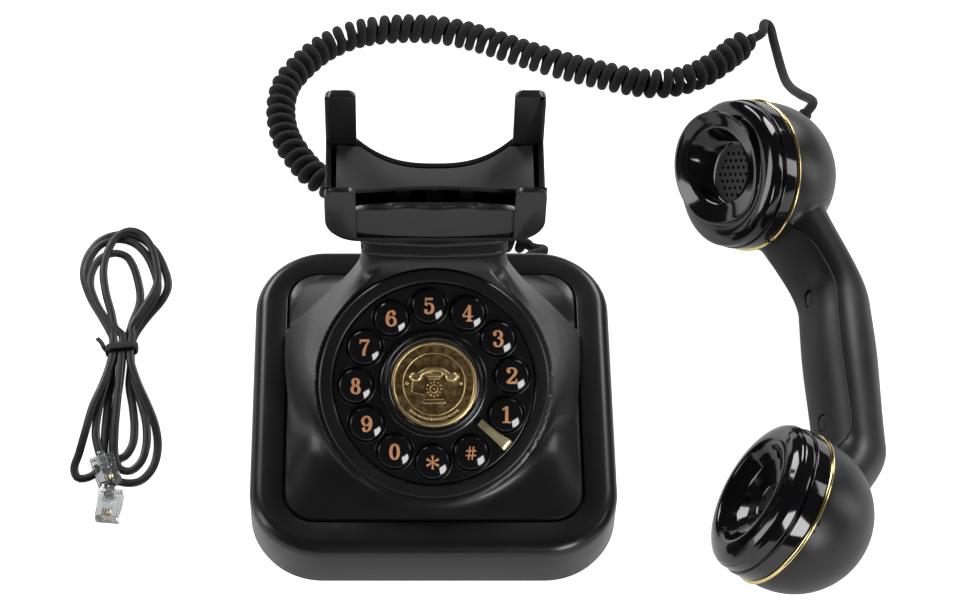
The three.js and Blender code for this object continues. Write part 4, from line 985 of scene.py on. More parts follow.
rim_low = FACE_TOP + GAP
rim = turned("medallion_surround", [
    (MEDALLION_RADIUS + GAP, rim_low), (RIM_RADIUS, rim_low), (RIM_RADIUS, rim_low + 0.7),
    (20.4, rim_low + 1.3), (19.6, rim_low + 1.5), (19.2, rim_low + 1.2), (18.9, rim_low + 1.25),
    (18.5, rim_low + 1.9), (17.7, rim_low + 2.0), (MEDALLION_RADIUS + GAP, rim_low + 1.5),
], 180, DIAL, 0.3, closed=True)
hand_over(to_object("medallion_surround", rim, FACE, 60), "base", "satin_black_plastic", "medallion_rim")
print("medallion", len(medal.polygons), "faces; beads", len(beads_ring.data.polygons))

# %% [markdown]
# The finger stop is a tapered blade of pale brass. It stands over the face and folds down into a slot by the
# bezel. A row of rounded sections along its middle line gives both the taper and the fold.

# %% Finger stop
blade_line = [(22.9, 1.15, 1.3), (24, 1.15, 1.42), (29, 1.15, 1.6), (33, 1.15, 1.85), (35.4, 1.12, 2.15)]
fold = [
    (35.9 + 1.5 * math.sin(a), -0.38 + 1.5 * math.cos(a), 2.3 + 0.12 * a) for a in np.linspace(0.1, 1.5, 9)
]
blade_line += [*fold, (37.42, -3.4, 2.5)]
blade_bands = []
for index, (reach_out, height, half_width) in enumerate(blade_line):
    before, after = blade_line[max(0, index - 1)], blade_line[min(len(blade_line) - 1, index + 1)]
    way = np.array((after[0] - before[0], after[1] - before[1]))
    way /= np.linalg.norm(way)
    across = np.array((-way[1], way[0]))
    section = []
    for a in np.arange(20) / 20 * 2 * math.pi:
        u = half_width * np.sign(math.cos(a)) * abs(math.cos(a)) ** 0.35
        v = 0.42 * np.sign(math.sin(a)) * abs(math.sin(a)) ** 0.5
        section.append((u, reach_out + across[0] * v, height + across[1] * v))
    blade_bands.append(section)
stop_turn = DIAL @ Matrix.Rotation(-STOP_ANGLE, 4, "Z")
stop_mesh = bands_mesh("finger_stop_blade", blade_bands, matrix=stop_turn)
hand_over(
    to_object("finger_stop_blade", stop_mesh, CHAMPAGNE, 50), "base", "champagne_brass", "finger_stop"
)

# %% [markdown]
# The cradle is cut from one block, as its mould would leave it: a trough with round lower corners, hollowed,
# then opened between and over its four prongs. Every edge gets a small radius, and the prongs' top corners a
# larger one.

# %% Cradle
HALF = 41.2
CRADLE_FRONT, CRADLE_BACK, CRADLE_WALL, CRADLE_FLOOR, CRADLE_CORNER = 14.0, 50.0, 2.1, 112.0, 13.0
PRONG, FRONT_TOP, REAR_TOP, SIDE_TOP = 11.6, 142.6, 158.0, 131.0
HOOK_TOP, HOOK_THICKNESS = 130.0, 2.4
FRONT_PLATE, REAR_PLATE = 2.3, 3.4
PANEL_FRONT, PANEL_BACK = CRADLE_FRONT + 2, CRADLE_FRONT + 4.2
BETWEEN = HALF - PRONG
REAR_REACH = BETWEEN - 0.1
REAR_BOW = 38.0
OVER = REAR_TOP + 5


def trough(inset, top, steps=14):
    r = CRADLE_CORNER - inset
    arc = [
        (HALF - CRADLE_CORNER + r * math.sin(a), CRADLE_FLOOR + CRADLE_CORNER - r * math.cos(a))
        for a in np.linspace(0, math.pi / 2, steps)
    ]
    right = [*arc, (HALF - inset, top)]
    return [*right, *[(-x, z) for x, z in reversed(right)]]


def upright(name, outline, y0, y1):
    return bands_mesh(name, [[(x, y, z) for x, z in outline] for y in (y0, y1)])


def slab(name, outline, z0, z1):
    return bands_mesh(name, [lift(outline, z0), lift(outline, z1)])


def rear_line(offset, steps=40):
    x = REAR_REACH * (1 - 2 * np.arange(steps + 1) / steps)
    bow = (CRADLE_BACK - REAR_BOW) * (np.abs(x) / REAR_REACH) ** 2.6
    return np.column_stack([x, REAR_BOW + bow + offset])


hollow_plan = [
    (-HALF, CRADLE_FRONT + FRONT_PLATE), (-BETWEEN, CRADLE_FRONT + FRONT_PLATE), (-BETWEEN, PANEL_BACK),
    (BETWEEN, PANEL_BACK), (BETWEEN, CRADLE_FRONT + FRONT_PLATE), (HALF, CRADLE_FRONT + FRONT_PLATE),
    (HALF, CRADLE_BACK - REAR_PLATE), (BETWEEN + 0.2, CRADLE_BACK - REAR_PLATE),
    *[tuple(p) for p in rear_line(-1.8) if p[1] < CRADLE_BACK - REAR_PLATE - 0.5],
    (-BETWEEN - 0.2, CRADLE_BACK - REAR_PLATE), (-HALF, CRADLE_BACK - REAR_PLATE),
]
hollow = carve(
    upright("hollow", trough(CRADLE_WALL, OVER + 1), CRADLE_FRONT - 9, CRADLE_BACK + 9),
    slab("hollow_plan", hollow_plan, CRADLE_FLOOR + 1, OVER), mode="INTERSECT",
)
behind = np.vstack([rear_line(0), [(-REAR_REACH, CRADLE_BACK + 5), (REAR_REACH, CRADLE_BACK + 5)]])
across_front = np.linspace(-BETWEEN, BETWEEN, 41)
lip = [
    (x, 131.4 - 3.4 * min(1, abs(x) / BETWEEN) ** 4 - 0.5 * math.cos(3 * math.pi * x / BETWEEN))
    for x in across_front
]
lip_cut = [*lip, (BETWEEN, OVER), (-BETWEEN, OVER)]
bulge = [
    (x, PANEL_FRONT - 1.5 * math.cos(0.5 * math.pi * x / BETWEEN) ** 0.6 + 0.001) for x in across_front
]
recess = [(-BETWEEN, CRADLE_FRONT - 1), (BETWEEN, CRADLE_FRONT - 1), *reversed(bulge)]
cuts = [
    hollow,
    slab("behind", behind, CRADLE_FLOOR - 5, OVER),
    slab("front_recess", recess, CRADLE_FLOOR + CRADLE_WALL, OVER),
    upright("lip", lip_cut, CRADLE_FRONT - 2, PANEL_BACK + 1),
    block(
        "over_front", -HALF - 2, HALF + 2, CRADLE_FRONT - 3, CRADLE_FRONT + FRONT_PLATE + 1.3, FRONT_TOP,
        OVER + 1
    ),
    block("over_sides", -HALF - 3, HALF + 3, CRADLE_FRONT + FRONT_PLATE + 0.02, CRADLE_BACK - REAR_PLATE - 0.02,
          SIDE_TOP, OVER + 2),
    block("between_rear", -BETWEEN, BETWEEN, 30, CRADLE_BACK + 1, HOOK_TOP - 0.8, OVER + 3),
]
cradle_mesh = upright("cradle_block", trough(0, REAR_TOP), CRADLE_FRONT, CRADLE_BACK)
for cutter in cuts:
    cradle_mesh = carve(cradle_mesh, cutter)


def round_prong_tops(mesh, radius):
    """Rounds the top corners of the prongs: the edges that run front to back at a prong's full height."""
    work = bmesh.new()
    work.from_mesh(mesh)
    bmesh.ops.remove_doubles(work, verts=work.verts, dist=1e-6)
    bmesh.ops.dissolve_limit(work, angle_limit=0.01, verts=work.verts, edges=work.edges)
    chosen = []
    for edge in work.edges:
        a, b = (v.co - HOME for v in edge.verts)
        level = abs(a.z - b.z) < 1e-5 and abs(a.x - b.x) < 1e-5
        if level and any(abs(a.z * 1000 - top) < 0.05 for top in (FRONT_TOP, REAR_TOP)):
            chosen.append(edge)
    bmesh.ops.bevel(work, geom=chosen, offset=radius * 0.001, segments=7, affect="EDGES", profile=0.5)
    work.to_mesh(mesh)
    work.free()
    return len(chosen)


rounded = round_prong_tops(cradle_mesh, 3.2)
cradle = bevelled(to_object("cradle_frame_moulding", cradle_mesh, SATIN), 0.55, 3, 40)
hand_over(cradle, "base", "satin_black_plastic", "cradle_frame")
print("cradle", len(cradle.data.polygons), "faces;", rounded, "prong corners rounded")

# %% Hook plate
plate_x = HALF - CRADLE_WALL - 2.0
plate_front = 26.2
wave = [
    (x, plate_front - 0.5 + 0.9 * math.cos(math.pi * x / plate_x)) for x in np.linspace(
        -plate_x, plate_x, 31
    )
]
plate_plan = [
    *wave, (plate_x, CRADLE_BACK - REAR_PLATE - 0.6),
    *[tuple(p) for p in rear_line(-3.2) if p[1] < CRADLE_BACK - 4.2],
    (-plate_x, CRADLE_BACK - REAR_PLATE - 0.6),
]
plate = slab("hook_cover", plate_plan, HOOK_TOP - HOOK_THICKNESS, HOOK_TOP)
legs = [
    block("hook_leg", side * 12 - 2.6, side * 12 + 2.6, 26.4, 31.6, 105.5, HOOK_TOP - HOOK_THICKNESS + 0.5)
    for side in (-1, 1)
]
hook = bevelled(to_object("hook_cover", carve(plate, *legs, mode="UNION"), PLATE), 0.5, 3, 40)
hand_over(hook, "hook", "grey_plastic", "hook_plate")
print("hook plate", len(hook.data.polygons), "faces")

# %% [markdown]
# The handset lies on its side beside the telephone. Its back shell is one flowing form: two balls and an arched
# grip. As with the case, each is a field, and a smooth minimum melts them together. The skin is found along
# rays from a middle line that bends with the grip, so that the bands stay even from end to end.

# %% Handset frame
HANDSET = Matrix.Translation((138.9, 25, 31.25)) @ Matrix.Rotation(-math.radians(60.7), 4, "Y")
BULB, BULB_Y, BALL_MELT = 31.0, 164.7 / 2, 1.3


def ball_end(y, tilt, forward):
    """A ball's ring plane: its place along the grip, its tilt, and how far it is past the ball's middle."""
    turned_frame = HANDSET @ Matrix.Translation((0, y, 0)) @ Matrix.Rotation(math.radians(tilt), 4, "X")
    return turned_frame @ Matrix.Translation((0, 0, forward))


EAR_END = ball_end(-BULB_Y, -13, 3.4)
MOUTH_END = ball_end(BULB_Y, 17, 5.6)


def eased(t):
    c = np.clip(t, 0, 1)
    return c * c * (3 - 2 * c)


def grip_at(y):
    """The grip's middle height and its half sizes at a place along the handset."""
    rise = 24 * eased((y - 24) / 52) + 21 * eased((-y - 46) / 38)
    swell = np.exp(-((y / 24) ** 2))
    return -31.6 + rise, 12 + 1.2 * swell + 0.12 * rise, 15.2 + 0.5 * swell + 0.1 * rise


def grip_field(x, y, z, grow=0.0):
    middle, half_z, half_x = grip_at(y)
    power = 2 / 0.85
    u, v = np.abs(x) / (half_x + grow), np.abs(z - middle) / (half_z + grow)
    return ((u**power + v**power) ** (1 / power) - 1) * half_z


def handset_field(x, y, z):
    balls = np.minimum(
        np.sqrt(x**2 + (y + BULB_Y) ** 2 + z**2), np.sqrt(x**2 + (y - BULB_Y) ** 2 + z**2)
    ) - BULB
    grip = np.maximum(grip_field(x, y, z), np.abs(y) - 80)
    h = np.maximum(BALL_MELT - np.abs(balls - grip), 0)
    return np.minimum(balls, grip) - h * h / (4 * BALL_MELT)


def skin_along(name, field, places, middle, sides=128, furthest=46.0):
    """A skin from sections at places along Y, each found by halving along rays from a middle height."""
    angles = (np.arange(sides) + 0.5) / sides * 2 * math.pi
    c, s = np.cos(angles)[None, :], np.sin(angles)[None, :]
    y, z0 = places[:, None], middle(places)[:, None]
    outer = np.full((len(places), sides), furthest)
    for _ in range(90):
        outside = field(outer * c, y, z0 + outer * s) >= 0
        outer = np.where(outside & (outer > 0.5), outer - 0.5, outer)
    inner, reach = outer.copy(), outer + 0.5
    for _ in range(24):
        half = (inner + reach) / 2
        outside = field(half * c, y, z0 + half * s) >= 0
        reach, inner = np.where(outside, half, reach), np.where(outside, inner, half)
    bands = np.stack([reach * c, np.broadcast_to(y, reach.shape), z0 + reach * s], axis=-1)
    return bands_mesh(name, bands, matrix=HANDSET)


def core_line(y):
    return grip_at(y)[0] * (1 - eased((np.abs(y) - 74) / 26))


turn_in = BULB_Y + BULB * np.sin(np.linspace(0.05, math.pi / 2 - 0.02, 34))
along = np.concatenate([-turn_in[::-1], np.linspace(-BULB_Y, BULB_Y, 150), turn_in])
back = skin_along("handset_back_shell", handset_field, along, core_line)
print("handset skin", len(back.polygons), "faces")

# %% [markdown]
# The grip's front is a separate insert with round ends, let into the back shell with a fine joint. It stands a
# hair proud, which gives the bright line along its edge. Two oval plugs hide the screws.

# %% Grip insert and screw plugs
INSERT_FROM, INSERT_TO, INSERT_HALF = -52.0, 56.0, 12.6


def insert_block(name, extra):
    """The space of the insert: straight sides and round ends, from the grip's middle line upwards."""
    start, stop, r = INSERT_FROM - extra, INSERT_TO + extra, INSERT_HALF + extra
    t = np.sin(np.linspace(0.02, 1, 12) * math.pi / 2) ** 2
    places = np.concatenate([start + (1 - np.sqrt(1 - t**2)) * r, np.linspace(start + r, stop - r, 40)[1:-1],
                             stop - (1 - np.sqrt(1 - t[::-1] ** 2)) * r])
    bands = []
    for y in places:
        inside = min(y - start, stop - y, r)
        w = max(0.5, math.sqrt(max(0.0, r * r - (r - inside) ** 2)))
        floor_z = grip_at(y)[0] + 1 - extra
        bands.append([(w, y, floor_z), (w, y, 22), (-w, y, 22), (-w, y, floor_z)])
    return bands_mesh(name, bands, matrix=HANDSET)


def oval(half_x, half_y, radius, z0, z1, y, name="oval"):
    outline = rounded_square(half_x, half_y, radius, 10)
    return bands_mesh(
        name, [lift(outline, z0), lift(outline, z1)], matrix=HANDSET @ Matrix.Translation((0, y, 0))
    )


SCREW_Y = {"ear": -34.9, "mouth": 25.5}
front_of = {end: grip_at(y)[0] + grip_at(y)[1] for end, y in SCREW_Y.items()}
plug_holes = [oval(2.7, 4.0, 2.65, front_of[e] - 2.0, front_of[e] + 4, y) for e, y in SCREW_Y.items()]
raw_insert = skin_along(
    "handset_grip_insert", lambda x, y, z: grip_field(x, y, z, 0.55),
    np.linspace(INSERT_FROM - 4, INSERT_TO + 4, 120),
    lambda y: grip_at(y)[0],
)
insert = carve(raw_insert, insert_block("insert_space", 0.0), mode="INTERSECT")
insert = carve(insert, *plug_holes)
front = bevelled(to_object("handset_grip_insert", insert, INSERT), 0.7, 4, 40)
hand_over(front, "handset", "insert_black_plastic", "handset_front")
for end, y in SCREW_Y.items():
    outline = rounded_square(2.42, 3.72, 2.38, 10)
    steps = [(0.0, -2.2), (0.0, -0.5), (0.12, -0.22), (0.4, -0.08), (1.0, 0.0), (1.9, 0.02)]
    bands = [lift(outline * (1 - i / 2.42), front_of[end] + 0.5 + dz) for i, dz in steps]
    plug = bands_mesh("screw_plug", bands, matrix=HANDSET @ Matrix.Translation((0, y, 0)))
    plug_piece = to_object("handset_screw_plug_" + end, plug, INSERT, 40)
    hand_over(plug_piece, "handset", "insert_black_plastic", "screw_plug_" + end)
print("insert", len(front.data.polygons), "faces")

# %% Handset back
GROMMET_AIM = Vector((0.33, 0.83, -0.45)).normalized()
GROMMET_SEAT = (
    HANDSET @ Matrix.Translation(GROMMET_AIM * BULB + Vector((0, BULB_Y, 0)))
    @ GROMMET_AIM.to_track_quat("Z", "Y").to_matrix().to_4x4()
)
back = carve(
    back, rod("ear_plane", 60, 0, 60, 64, EAR_END), rod("mouth_plane", 60, 0, 60, 64, MOUTH_END),
    insert_block("insert_recess", 0.24), rod("cord_hole", 3.7, -4, 10, 48, GROMMET_SEAT),
)
shell_piece = bevelled(to_object("handset_back_shell", back, GRIP_SATIN), 0.35, 2, 42)
hand_over(shell_piece, "handset", "satin_black_plastic", "handset_back")
print("handset back", len(shell_piece.data.polygons), "faces")

# %% [markdown]
# A gold ring marks the joint between each ball and its cap. It is a bent strip: its ends meet at a small gap
# and are rolled outwards, so each ring is swept along an arc that stops short of a full turn.

# %% Gold rings
RING = 31.95


def split_ring(name, matrix, gap_angle):
    section = soften([
        (RING - 3.2, 0.3), (RING - 0.6, 0.3), (RING, 0.75), (RING + 0.02, 1.15), (RING - 0.6, 1.8),
        (RING - 3.2, 1.8),
    ], 0.5, 4, closed=True)
    opening = math.radians(3.2)
    turns = np.linspace(gap_angle + opening, gap_angle + 2 * math.pi - opening, 220)
    bands = [[(r * math.cos(a), r * math.sin(a), z) for r, z in section] for a in turns]
    return bands_mesh(name, bands, matrix=matrix)


def rolled_end(name, matrix, angle):
    profile = [(0, -0.25), (0.75, -0.25), (1.02, 0.1), (1.05, 2.05), (0.75, 2.4), (0, 2.4)]
    spot = Matrix.Translation(((RING - 0.75) * math.cos(angle), (RING - 0.75) * math.sin(angle), 0))
    return turned(name, profile, 28, matrix @ spot, 0.3)


for end, matrix, gap_angle in (
    ("ear", EAR_END, math.radians(170)), ("mouth", MOUTH_END, math.radians(267))
):
    ring = to_object(end + "_gold_ring", split_ring(end + "_gold_ring", matrix, gap_angle), GOLD, 50)
    hand_over(ring, "handset", "polished_gold", end + "_ring")
    for side in (-1, 1):
        knob = rolled_end("ring_roll", matrix, gap_angle + side * math.radians(3.4))
        hand_over(to_object(f"{end}_ring_roll_{side + 2}", knob, GOLD, 50), "handset", "polished_gold")
    seat = turned(end + "_seat", [(0, 0.05), (29.4, 0.05), (29.4, 2.25), (0, 2.25)], 96, matrix, 0.05)
    hand_over(to_object(end + "_seat", seat, DULL, 50), "handset", "dull_black_plastic")
print("ring", len(ring.data.polygons), "faces")

# %% [markdown]
# Both caps are turned in high gloss. The speech holes are perforations: Geometry Nodes set pegs on a slanted
# grid, keep those inside a circle, and a Boolean cuts them out of the cap.

# %% Speech holes
def perforation_pegs(name):
    """Pegs on a grid of equal triangles, kept within a reach of the middle."""
    tree, entry, output = node_tree(name, [
        ("Pitch", "NodeSocketFloat", 3.0), ("Reach", "NodeSocketFloat", 6.0),
        ("Radius", "NodeSocketFloat", 0.6), ("Depth", "NodeSocketFloat", 4.0),
    ])

    def maths(kind, a, b):
        node = tree.nodes.new("ShaderNodeMath")
        node.operation = kind
        for index, value in enumerate((a, b)):
            if isinstance(value, float):
                node.inputs[index].default_value = value
            else:
                tree.links.new(value, node.inputs[index])
        return node.outputs[0]

    grid = tree.nodes.new("GeometryNodeMeshGrid")
    grid.inputs["Vertices X"].default_value = 13
    grid.inputs["Vertices Y"].default_value = 13
    for axis in "XY":
        tree.links.new(maths("MULTIPLY", entry.outputs["Pitch"], 12.0), grid.inputs["Size " + axis])
    place_node = tree.nodes.new("GeometryNodeInputPosition")
    apart = tree.nodes.new("ShaderNodeSeparateXYZ")
    tree.links.new(place_node.outputs[0], apart.inputs[0])
    slanted = tree.nodes.new("ShaderNodeCombineXYZ")
    tree.links.new(
        maths("ADD", apart.outputs["X"], maths("MULTIPLY", apart.outputs["Y"], 0.5)), slanted.inputs["X"]
    )
    tree.links.new(maths("MULTIPLY", apart.outputs["Y"], 0.8660254), slanted.inputs["Y"])
    moved = tree.nodes.new("GeometryNodeSetPosition")
    tree.links.new(grid.outputs["Mesh"], moved.inputs["Geometry"])
    tree.links.new(slanted.outputs[0], moved.inputs["Position"])
    spot = tree.nodes.new("GeometryNodeInputPosition")
    length = tree.nodes.new("ShaderNodeVectorMath")
    length.operation = "LENGTH"
    tree.links.new(spot.outputs[0], length.inputs[0])
    near = tree.nodes.new("FunctionNodeCompare")
    near.data_type = "FLOAT"
    near.operation = "LESS_THAN"
    tree.links.new(length.outputs["Value"], near.inputs["A"])
    tree.links.new(entry.outputs["Reach"], near.inputs["B"])
    peg = tree.nodes.new("GeometryNodeMeshCylinder")
    peg.inputs["Vertices"].default_value = 16
    tree.links.new(entry.outputs["Radius"], peg.inputs["Radius"])
    tree.links.new(entry.outputs["Depth"], peg.inputs["Depth"])
    copies = tree.nodes.new("GeometryNodeInstanceOnPoints")
    tree.links.new(moved.outputs["Geometry"], copies.inputs["Points"])
    tree.links.new(near.outputs["Result"], copies.inputs["Selection"])
    tree.links.new(peg.outputs["Mesh"], copies.inputs["Instance"])
    finish_tree(tree, copies.outputs["Instances"], output, GLOSS)
    return tree


PEGS = perforation_pegs("speech_hole_pegs")


def pegs(matrix, **sizes):
    made = grown("pegs", PEGS, GLOSS, matrix, **sizes)
    mesh = made.data
    bpy.data.objects.remove(made)
    mesh.materials.clear()
    return mesh


# %% Ear cap
CAP = 2.2  # where a cap starts in front of its ring plane
CAP_FOOT = [
    (28.9, CAP), (31.15, CAP), (31.2, CAP + 0.3), (31.2, CAP + 5.6), (30.9, CAP + 6.0), (30.1, CAP + 6.15),
    (29.9, CAP + 6.5), (30.1, CAP + 6.8), (30.5, CAP + 7.05), (30.6, CAP + 7.5), (30.35, CAP + 10.6),
]
ear_profile = [
    (0, CAP + 3.2), (0, CAP + 5.2), (8.4, CAP + 5.2), (8.9, CAP + 5.6), (12.6, CAP + 6.9),
    (16.4, CAP + 9.2), (19.0, CAP + 11.9), (20.3, CAP + 14.0), (21.2, CAP + 15.0), (22.3, CAP + 15.3),
    (24.0, CAP + 15.1), (26.6, CAP + 14.2), (28.7, CAP + 12.9), (29.5, CAP + 12.1), (29.7, CAP + 11.4),
    *CAP_FOOT[::-1], (11, CAP + 3.2),
]
EAR_HOLES = dict(pitch=6.1, reach=6.3, radius=0.85, depth=2.4)
EAR_HOLES_SEAT = EAR_END @ Matrix.Translation((0, 0, CAP + 5.0)) @ Matrix.Rotation(0.3, 4, "Z")
ear = carve(turned("ear_cap_turned", ear_profile, 160, EAR_END, 0.5), pegs(EAR_HOLES_SEAT, **EAR_HOLES))
ear_piece = to_object("ear_cap_turned", ear, GLOSS, 50)
hand_over(ear_piece, "handset", "glossy_black_plastic", "ear_cap")


def grille(name, radius, z, matrix, holes):
    """The dull disc that the speech holes run through."""
    disc = turned(
        name, [(0, z - 0.2), (radius, z - 0.2), (radius, z + 0.22), (0, z + 0.22)], 64, matrix, 0.1
    )
    piece = to_object(name, carve(disc, holes), INSERT, 50)
    hand_over(piece, "handset", "dull_black_plastic")


grille("ear_grille", 8.3, CAP + 5.2, EAR_END, pegs(EAR_HOLES_SEAT, **EAR_HOLES))
print("ear cap", len(ear.polygons), "faces")

# %% [markdown]
# The mouth cap carries a scoop. Every band of it is a circle that leans towards its tall side and rises with
# it. The rim comes to a soft point at its low side, where the two flanks of the scoop meet.

# %% Mouth cap
SCOOP_TURN = math.radians(105)


def scoop_band(radius, low_side, high_side, lean, point=0.0, sides=160):
    a = np.arange(sides) / sides * 2 * math.pi
    tall = (1 + np.cos(a - SCOOP_TURN)) / 2
    r = radius * (1 + point * np.maximum(0, -np.cos(a - SCOOP_TURN)) ** 10)
    z = CAP + low_side + (high_side - low_side) * tall
    x, y = r * np.cos(a) + lean * math.cos(SCOOP_TURN), r * np.sin(a) + lean * math.sin(SCOOP_TURN)
    return np.stack([x, y, z], axis=-1)


foot = soften(CAP_FOOT, 0.4)
a = np.arange(160) / 160 * 2 * math.pi


def round_band(r, z):
    return np.stack([r * np.cos(a), r * np.sin(a), np.full(160, z)], axis=-1)


scoop_bands = [
    # the foot and the flat shoulder round the scoop
    round_band(0.05, CAP + 3), *[round_band(*p) for p in foot], round_band(29.9, CAP + 11.3),
    round_band(28.9, CAP + 11.75), round_band(26.6, CAP + 12.3), round_band(24.4, CAP + 12.45),
    # the outer flank
    scoop_band(22.4, 12.2, 12.7, 0.1), scoop_band(22.5, 12.3, 13.6, 0.5, 0.03),
    scoop_band(22.9, 12.4, 15.4, 1.4, 0.05), scoop_band(23.3, 12.6, 17.4, 2.4, 0.07),
    scoop_band(23.45, 12.7, 18.6, 2.95, 0.08), scoop_band(23.4, 12.8, 19.2, 3.2, 0.08),
    # the rim
    scoop_band(23.1, 12.85, 19.5, 3.3, 0.08), scoop_band(22.6, 12.75, 19.5, 3.4, 0.07),
    scoop_band(22.0, 12.5, 19.3, 3.5, 0.06), scoop_band(20.0, 11.7, 18.8, 3.9, 0.04),
    scoop_band(17.6, 10.8, 18.2, 4.3, 0.02), scoop_band(16.3, 10.3, 17.8, 4.5),
    # the mouth and its floor
    scoop_band(15.8, 10.0, 17.4, 4.5), scoop_band(15.4, 9.5, 16.4, 4.3), scoop_band(14.9, 8.7, 13.6, 3.2),
    scoop_band(14.2, 7.6, 9.6, 1.6), scoop_band(13.4, 7.0, 7.4, 0.6), scoop_band(12.9, 6.9, 6.9, 0.3),
    round_band(11.5, CAP + 6.9), round_band(0.05, CAP + 6.9),
]
MOUTH_HOLES_SEAT = MOUTH_END @ Matrix.Translation((0.6, -0.6, CAP + 6.8)) @ Matrix.Rotation(0.5, 4, "Z")
MOUTH_HOLES = dict(pitch=3.3, reach=10.2, radius=0.78, depth=2.4)
mouth = carve(
    bands_mesh("mouth_cap_scoop", scoop_bands, matrix=MOUTH_END),
    pegs(MOUTH_HOLES_SEAT, **MOUTH_HOLES),
)
mouth_piece = to_object("mouth_cap_scoop", mouth, GLOSS, 50)
hand_over(mouth_piece, "handset", "glossy_black_plastic", "mouth_cap")
grille("mouth_grille", 12.2, CAP + 6.9, MOUTH_END, pegs(MOUTH_HOLES_SEAT, **MOUTH_HOLES))
print("mouth cap", len(mouth.polygons), "faces")

# %% Cord grommets
ribs = []
for i in range(3):
    low_z = 0.9 + 1.75 * i
    wide = 4.0 - 0.45 * i
    ribs += [(wide - 0.9, low_z), (wide, low_z + 0.3), (wide, low_z + 1.0), (wide - 0.9, low_z + 1.3)]
sleeve = [
    (2.15, -3), (3.35, -3), (3.35, 0.2), (4.15, 0.25), (4.15, 0.7), *ribs, (3.0, 6.6), (2.6, 7.0),
    (2.15, 7.0)
]
strain_relief = turned("handset_strain_relief", sleeve, 56, GROMMET_SEAT, 0.25, closed=True)
hand_over(
    to_object("handset_strain_relief", strain_relief, RUBBER, 50), "handset", "black_rubber",
    "handset_grommet"
)
EXIT_SEAT = Matrix.Translation(CORD_EXIT) @ Matrix.Rotation(-math.pi / 2, 4, "X")
base_ribs = []
for i in range(3):
    low_z = 0.9 + 1.25 * i
    wide = 4.2 - 0.5 * i
    base_ribs += [
        (wide - 0.8, low_z), (wide, low_z + 0.2), (wide, low_z + 0.75), (wide - 0.8, low_z + 0.95)
    ]
base_sleeve = [
    (2.15, -3), (3.3, -3), (3.3, 0.3), (4.35, 0.35), (4.35, 0.8), *base_ribs, (2.9, 4.8), (2.15, 5.0)
]
base_relief = turned("base_strain_relief", base_sleeve, 56, EXIT_SEAT, 0.2, closed=True)
hand_over(
    to_object("base_strain_relief", base_relief, RUBBER, 50), "base", "black_rubber", "base_cord_grommet"
)
print("grommets", len(strain_relief.polygons) + len(base_relief.polygons), "faces")

# %% [markdown]
# The curly cord is one braided lead, wound into a helix along a route on the table and straight at both ends.
# The route is a smooth curve through a few points. The winding is a circle carried along it, whose radius grows
# over the first two turns. The lead's skin then follows the winding with a frame that never twists suddenly.
# The braid is drawn on the skin's own UV map, because it has to follow the lead.

# %% Curves in space
def smooth_line(points, spacing):
    """A Catmull-Rom curve through points, as evenly spaced places on it."""
    points = [Vector(p) for p in points]
    points = [2 * points[0] - points[1], *points, 2 * points[-1] - points[-2]]
    dense = []
    for i in range(1, len(points) - 2):
        p0, p1, p2, p3 = points[i - 1:i + 3]
        t1 = (p1 - p0).length ** 0.5
        t2 = t1 + (p2 - p1).length ** 0.5
        t3 = t2 + (p3 - p2).length ** 0.5
        for k in range(40):
            t = t1 + (t2 - t1) * k / 40
            a1 = p0 * ((t1 - t) / t1) + p1 * (t / t1)
            a2 = p1 * ((t2 - t) / (t2 - t1)) + p2 * ((t - t1) / (t2 - t1))
            a3 = p2 * ((t3 - t) / (t3 - t2)) + p3 * ((t - t2) / (t3 - t2))
            b1 = a1 * ((t2 - t) / t2) + a2 * (t / t2)
            b2 = a2 * ((t3 - t) / (t3 - t1)) + a3 * ((t - t1) / (t3 - t1))
            dense.append(b1 * ((t2 - t) / (t2 - t1)) + b2 * ((t - t1) / (t2 - t1)))
    dense.append(points[-2])
    dense = np.array(dense)
    run = np.concatenate([[0], np.cumsum(np.linalg.norm(np.diff(dense, axis=0), axis=1))])
    places = np.linspace(0, run[-1], max(2, int(round(run[-1] / spacing)) + 1))
    return np.column_stack([np.interp(places, run, dense[:, i]) for i in range(3)])


def swept(name, line, section, finish, flat=False):
    """A tube with a given section along a line, with UVs: U round it, V along it in millimetres."""
    way = np.gradient(line, axis=0)
    way /= np.linalg.norm(way, axis=1)[:, None]
    sides = np.zeros_like(line)
    side = np.cross(way[0], (0.0, 0.0, 1.0))
    for i in range(len(line)):
        side = np.cross(way[i], (0.0, 0.0, 1.0)) if flat else side - way[i] * np.dot(side, way[i])
        side = side / np.linalg.norm(side)
        sides[i] = side
    ups = np.cross(sides, way)
    section = np.asarray(section)
    bands = (
        line[:, None, :] + sides[:, None, :] * section[None, :, 0:1] + ups[:, None, :] * section[
            None, :, 1:2
        ]
    )
    mesh = bands_mesh(name, bands)
    run = np.concatenate([[0], np.cumsum(np.linalg.norm(np.diff(line, axis=0), axis=1))])
    count = len(section)
    layer = mesh.uv_layers.new(name="lead")
    spots = np.zeros(len(mesh.loops) * 2)
    for face in mesh.polygons:
        around = [v % count for v in face.vertices]
        for loop, vertex, j in zip(face.loop_indices, face.vertices, around):
            u = j / count
            closes = len(face.vertices) == 4 and max(around) == count - 1 and min(a for a in around if a) > 1
            if closes and j == 0:
                u = 1.0
            spots[2 * loop], spots[2 * loop + 1] = u, run[vertex // count]
    layer.data.foreach_set("uv", spots)
    return to_object(name, mesh, finish, 60), float(run[-1])


